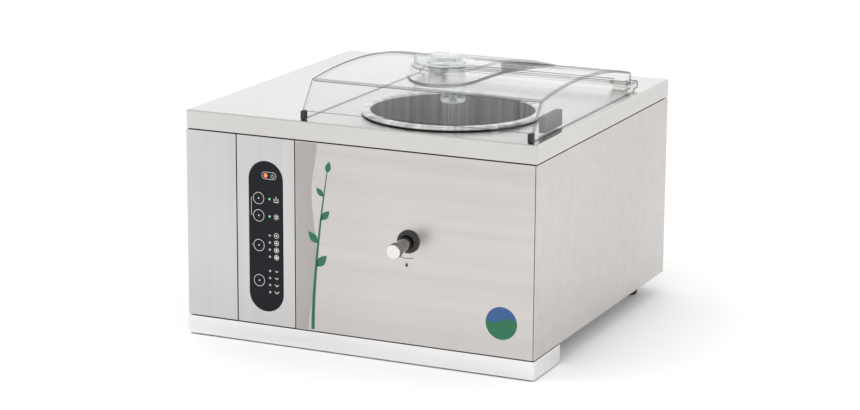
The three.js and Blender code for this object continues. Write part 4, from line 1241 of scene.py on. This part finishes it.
class AddMachinery(Making, bpy.types.Operator):
    """Finishes the machinery inside the cabinet, the refrigeration set, the belt drive and the fan"""
    bl_idname = "ice_cream.machinery"
    bl_label = "Machinery"

    def execute(self, context):
        for slot, nodes in MACHINERY.items():
            for node in nodes:
                held = frame["nodes"][node]
                held.data.materials.clear()
                held.data.materials.append(look(slot))
        return {"FINISHED"}


# ---------- stage ----------

def studio_world(stage):
    """A white surround whose strength changes from the horizon to overhead."""
    world = bpy.data.worlds.new("studio")
    world.use_nodes = True
    nodes, links = world.node_tree.nodes, world.node_tree.links
    background = nodes["Background"]
    background.inputs["Color"].default_value = (1, 1, 1, 1)
    split, ramp = nodes.new("ShaderNodeSeparateXYZ"), nodes.new("ShaderNodeMapRange")
    links.new(nodes.new("ShaderNodeTexCoord").outputs["Generated"], split.inputs[0])
    links.new(split.outputs["Z"], ramp.inputs["Value"])
    links.new(ramp.outputs["Result"], background.inputs["Strength"])
    for key, value in (("From Min", 0.15), ("From Max", 0.75), ("To Min", stage.horizon),
                       ("To Max", stage.world)):
        ramp.inputs[key].default_value = value
    return world


class AddStage(Making, bpy.types.Operator):
    """Adds the pale floor, the soft lights and the camera"""
    bl_idname = "ice_cream.stage"
    bl_label = "Stage"

    def execute(self, context):
        scene, stage = bpy.context.scene, settings().stage
        scene.view_settings.view_transform = "Standard"
        scene.world = studio_world(stage)

        floor = bmesh.new()
        reach = 14.0
        signs = ((-1, -1), (1, -1), (1, 1), (-1, 1))
        floor.faces.new([floor.verts.new((reach * x, reach * y, 0)) for x, y in signs])
        mesh = bpy.data.meshes.new("floor")
        floor.to_mesh(mesh)
        floor.free()
        make = Finish("floor")
        tint = tuple(stage.floor)
        mesh.materials.append(make.finish(make.principled(
            Base_Color=make.mix(make.noise(0.6), shade(tint, 0.985), tint), Roughness=0.75)))
        ground = bpy.data.objects.new("floor", mesh)
        scene.collection.objects.link(ground)

        for name, place, size, power in (
                ("softbox_over", (-0.5, -0.9, 2.3), 2.2, 14), ("softbox_left", (-2.4, -1.6, 1.5), 1.6, 7),
                ("softbox_right", (2.2, 0.6, 1.8), 1.6, 6)):
            light = bpy.data.lights.new(name, "AREA")
            light.size, light.energy = size, power
            thing = bpy.data.objects.new(name, light)
            thing.matrix_world = axes_at(place, Vector(place) - Vector((0, 0, 0.15)))
            thing.visible_glossy = False
            scene.collection.objects.link(thing)

        lens = bpy.data.cameras.new("camera")
        lens.lens, lens.sensor_width = stage.camera_lens, 36
        yaw, pitch, roll = radians(-24.60), radians(13.80), stage.camera_roll
        ahead = Vector((sin(yaw) * cos(pitch), cos(yaw) * cos(pitch), -sin(pitch)))
        right = Vector((cos(yaw), -sin(yaw), 0))
        up = right.cross(ahead)
        axes = (right * cos(roll) + up * sin(roll), up * cos(roll) - right * sin(roll), -ahead)
        stand = Matrix.Translation((1.29386, -2.83863 + BACK, 0.90191))
        camera = bpy.data.objects.new("camera", lens)
        camera.matrix_world = stand @ Matrix(axes).transposed().to_4x4()
        scene.collection.objects.link(camera)
        scene.camera = camera
        return {"FINISHED"}


# ---------- add-on ----------

class MachineSettings(bpy.types.PropertyGroup):
    cabinet: PointerProperty(type=CabinetSettings)
    bowl: PointerProperty(type=BowlSettings)
    lid: PointerProperty(type=LidSettings)
    keypad: PointerProperty(type=KeypadSettings)
    films: PointerProperty(type=FilmSettings)
    stage: PointerProperty(type=StageSettings)


OPERATORS = (AddStage, AddCabinetSheets, AddDeck, AddBowl, AddDrain, AddKeypad, AddLamps, AddKeypadPrint,
             AddPanelFilms, AddLid, AddLidFittings, AddFeedCap, AddStirrer, AddRearFittings, AddFeet,
             AddMachinery)


class IceCreamPanel(bpy.types.Panel):
    """Lists the machine's pieces"""
    bl_idname = "VIEW3D_PT_ice_cream"
    bl_label = "Batch Ice Cream Machine"
    bl_space_type = "VIEW_3D"
    bl_region_type = "UI"
    bl_category = "Ice Cream"

    def draw(self, context):
        for operator in OPERATORS:
            self.layout.operator(operator.bl_idname)
        for group in ("cabinet", "bowl", "lid", "keypad", "films", "stage"):
            box = self.layout.box()
            box.label(text=group.title())
            held = getattr(settings(), group)
            for name in held.__annotations__:
                box.prop(held, name)


CLASSES = (CabinetSettings, BowlSettings, LidSettings, KeypadSettings, FilmSettings, StageSettings,
           MachineSettings, *OPERATORS, IceCreamPanel)


def register():
    for kind in CLASSES:
        bpy.utils.register_class(kind)
    bpy.types.Scene.ice_cream = PointerProperty(type=MachineSettings)


def unregister():
    del bpy.types.Scene.ice_cream
    for kind in reversed(CLASSES):
        bpy.utils.unregister_class(kind)


def main():
    register()
    for operator in OPERATORS:
        group, name = operator.bl_idname.split(".")
        getattr(getattr(bpy.ops, group), name)()


if __name__ == "__main__":
    main()
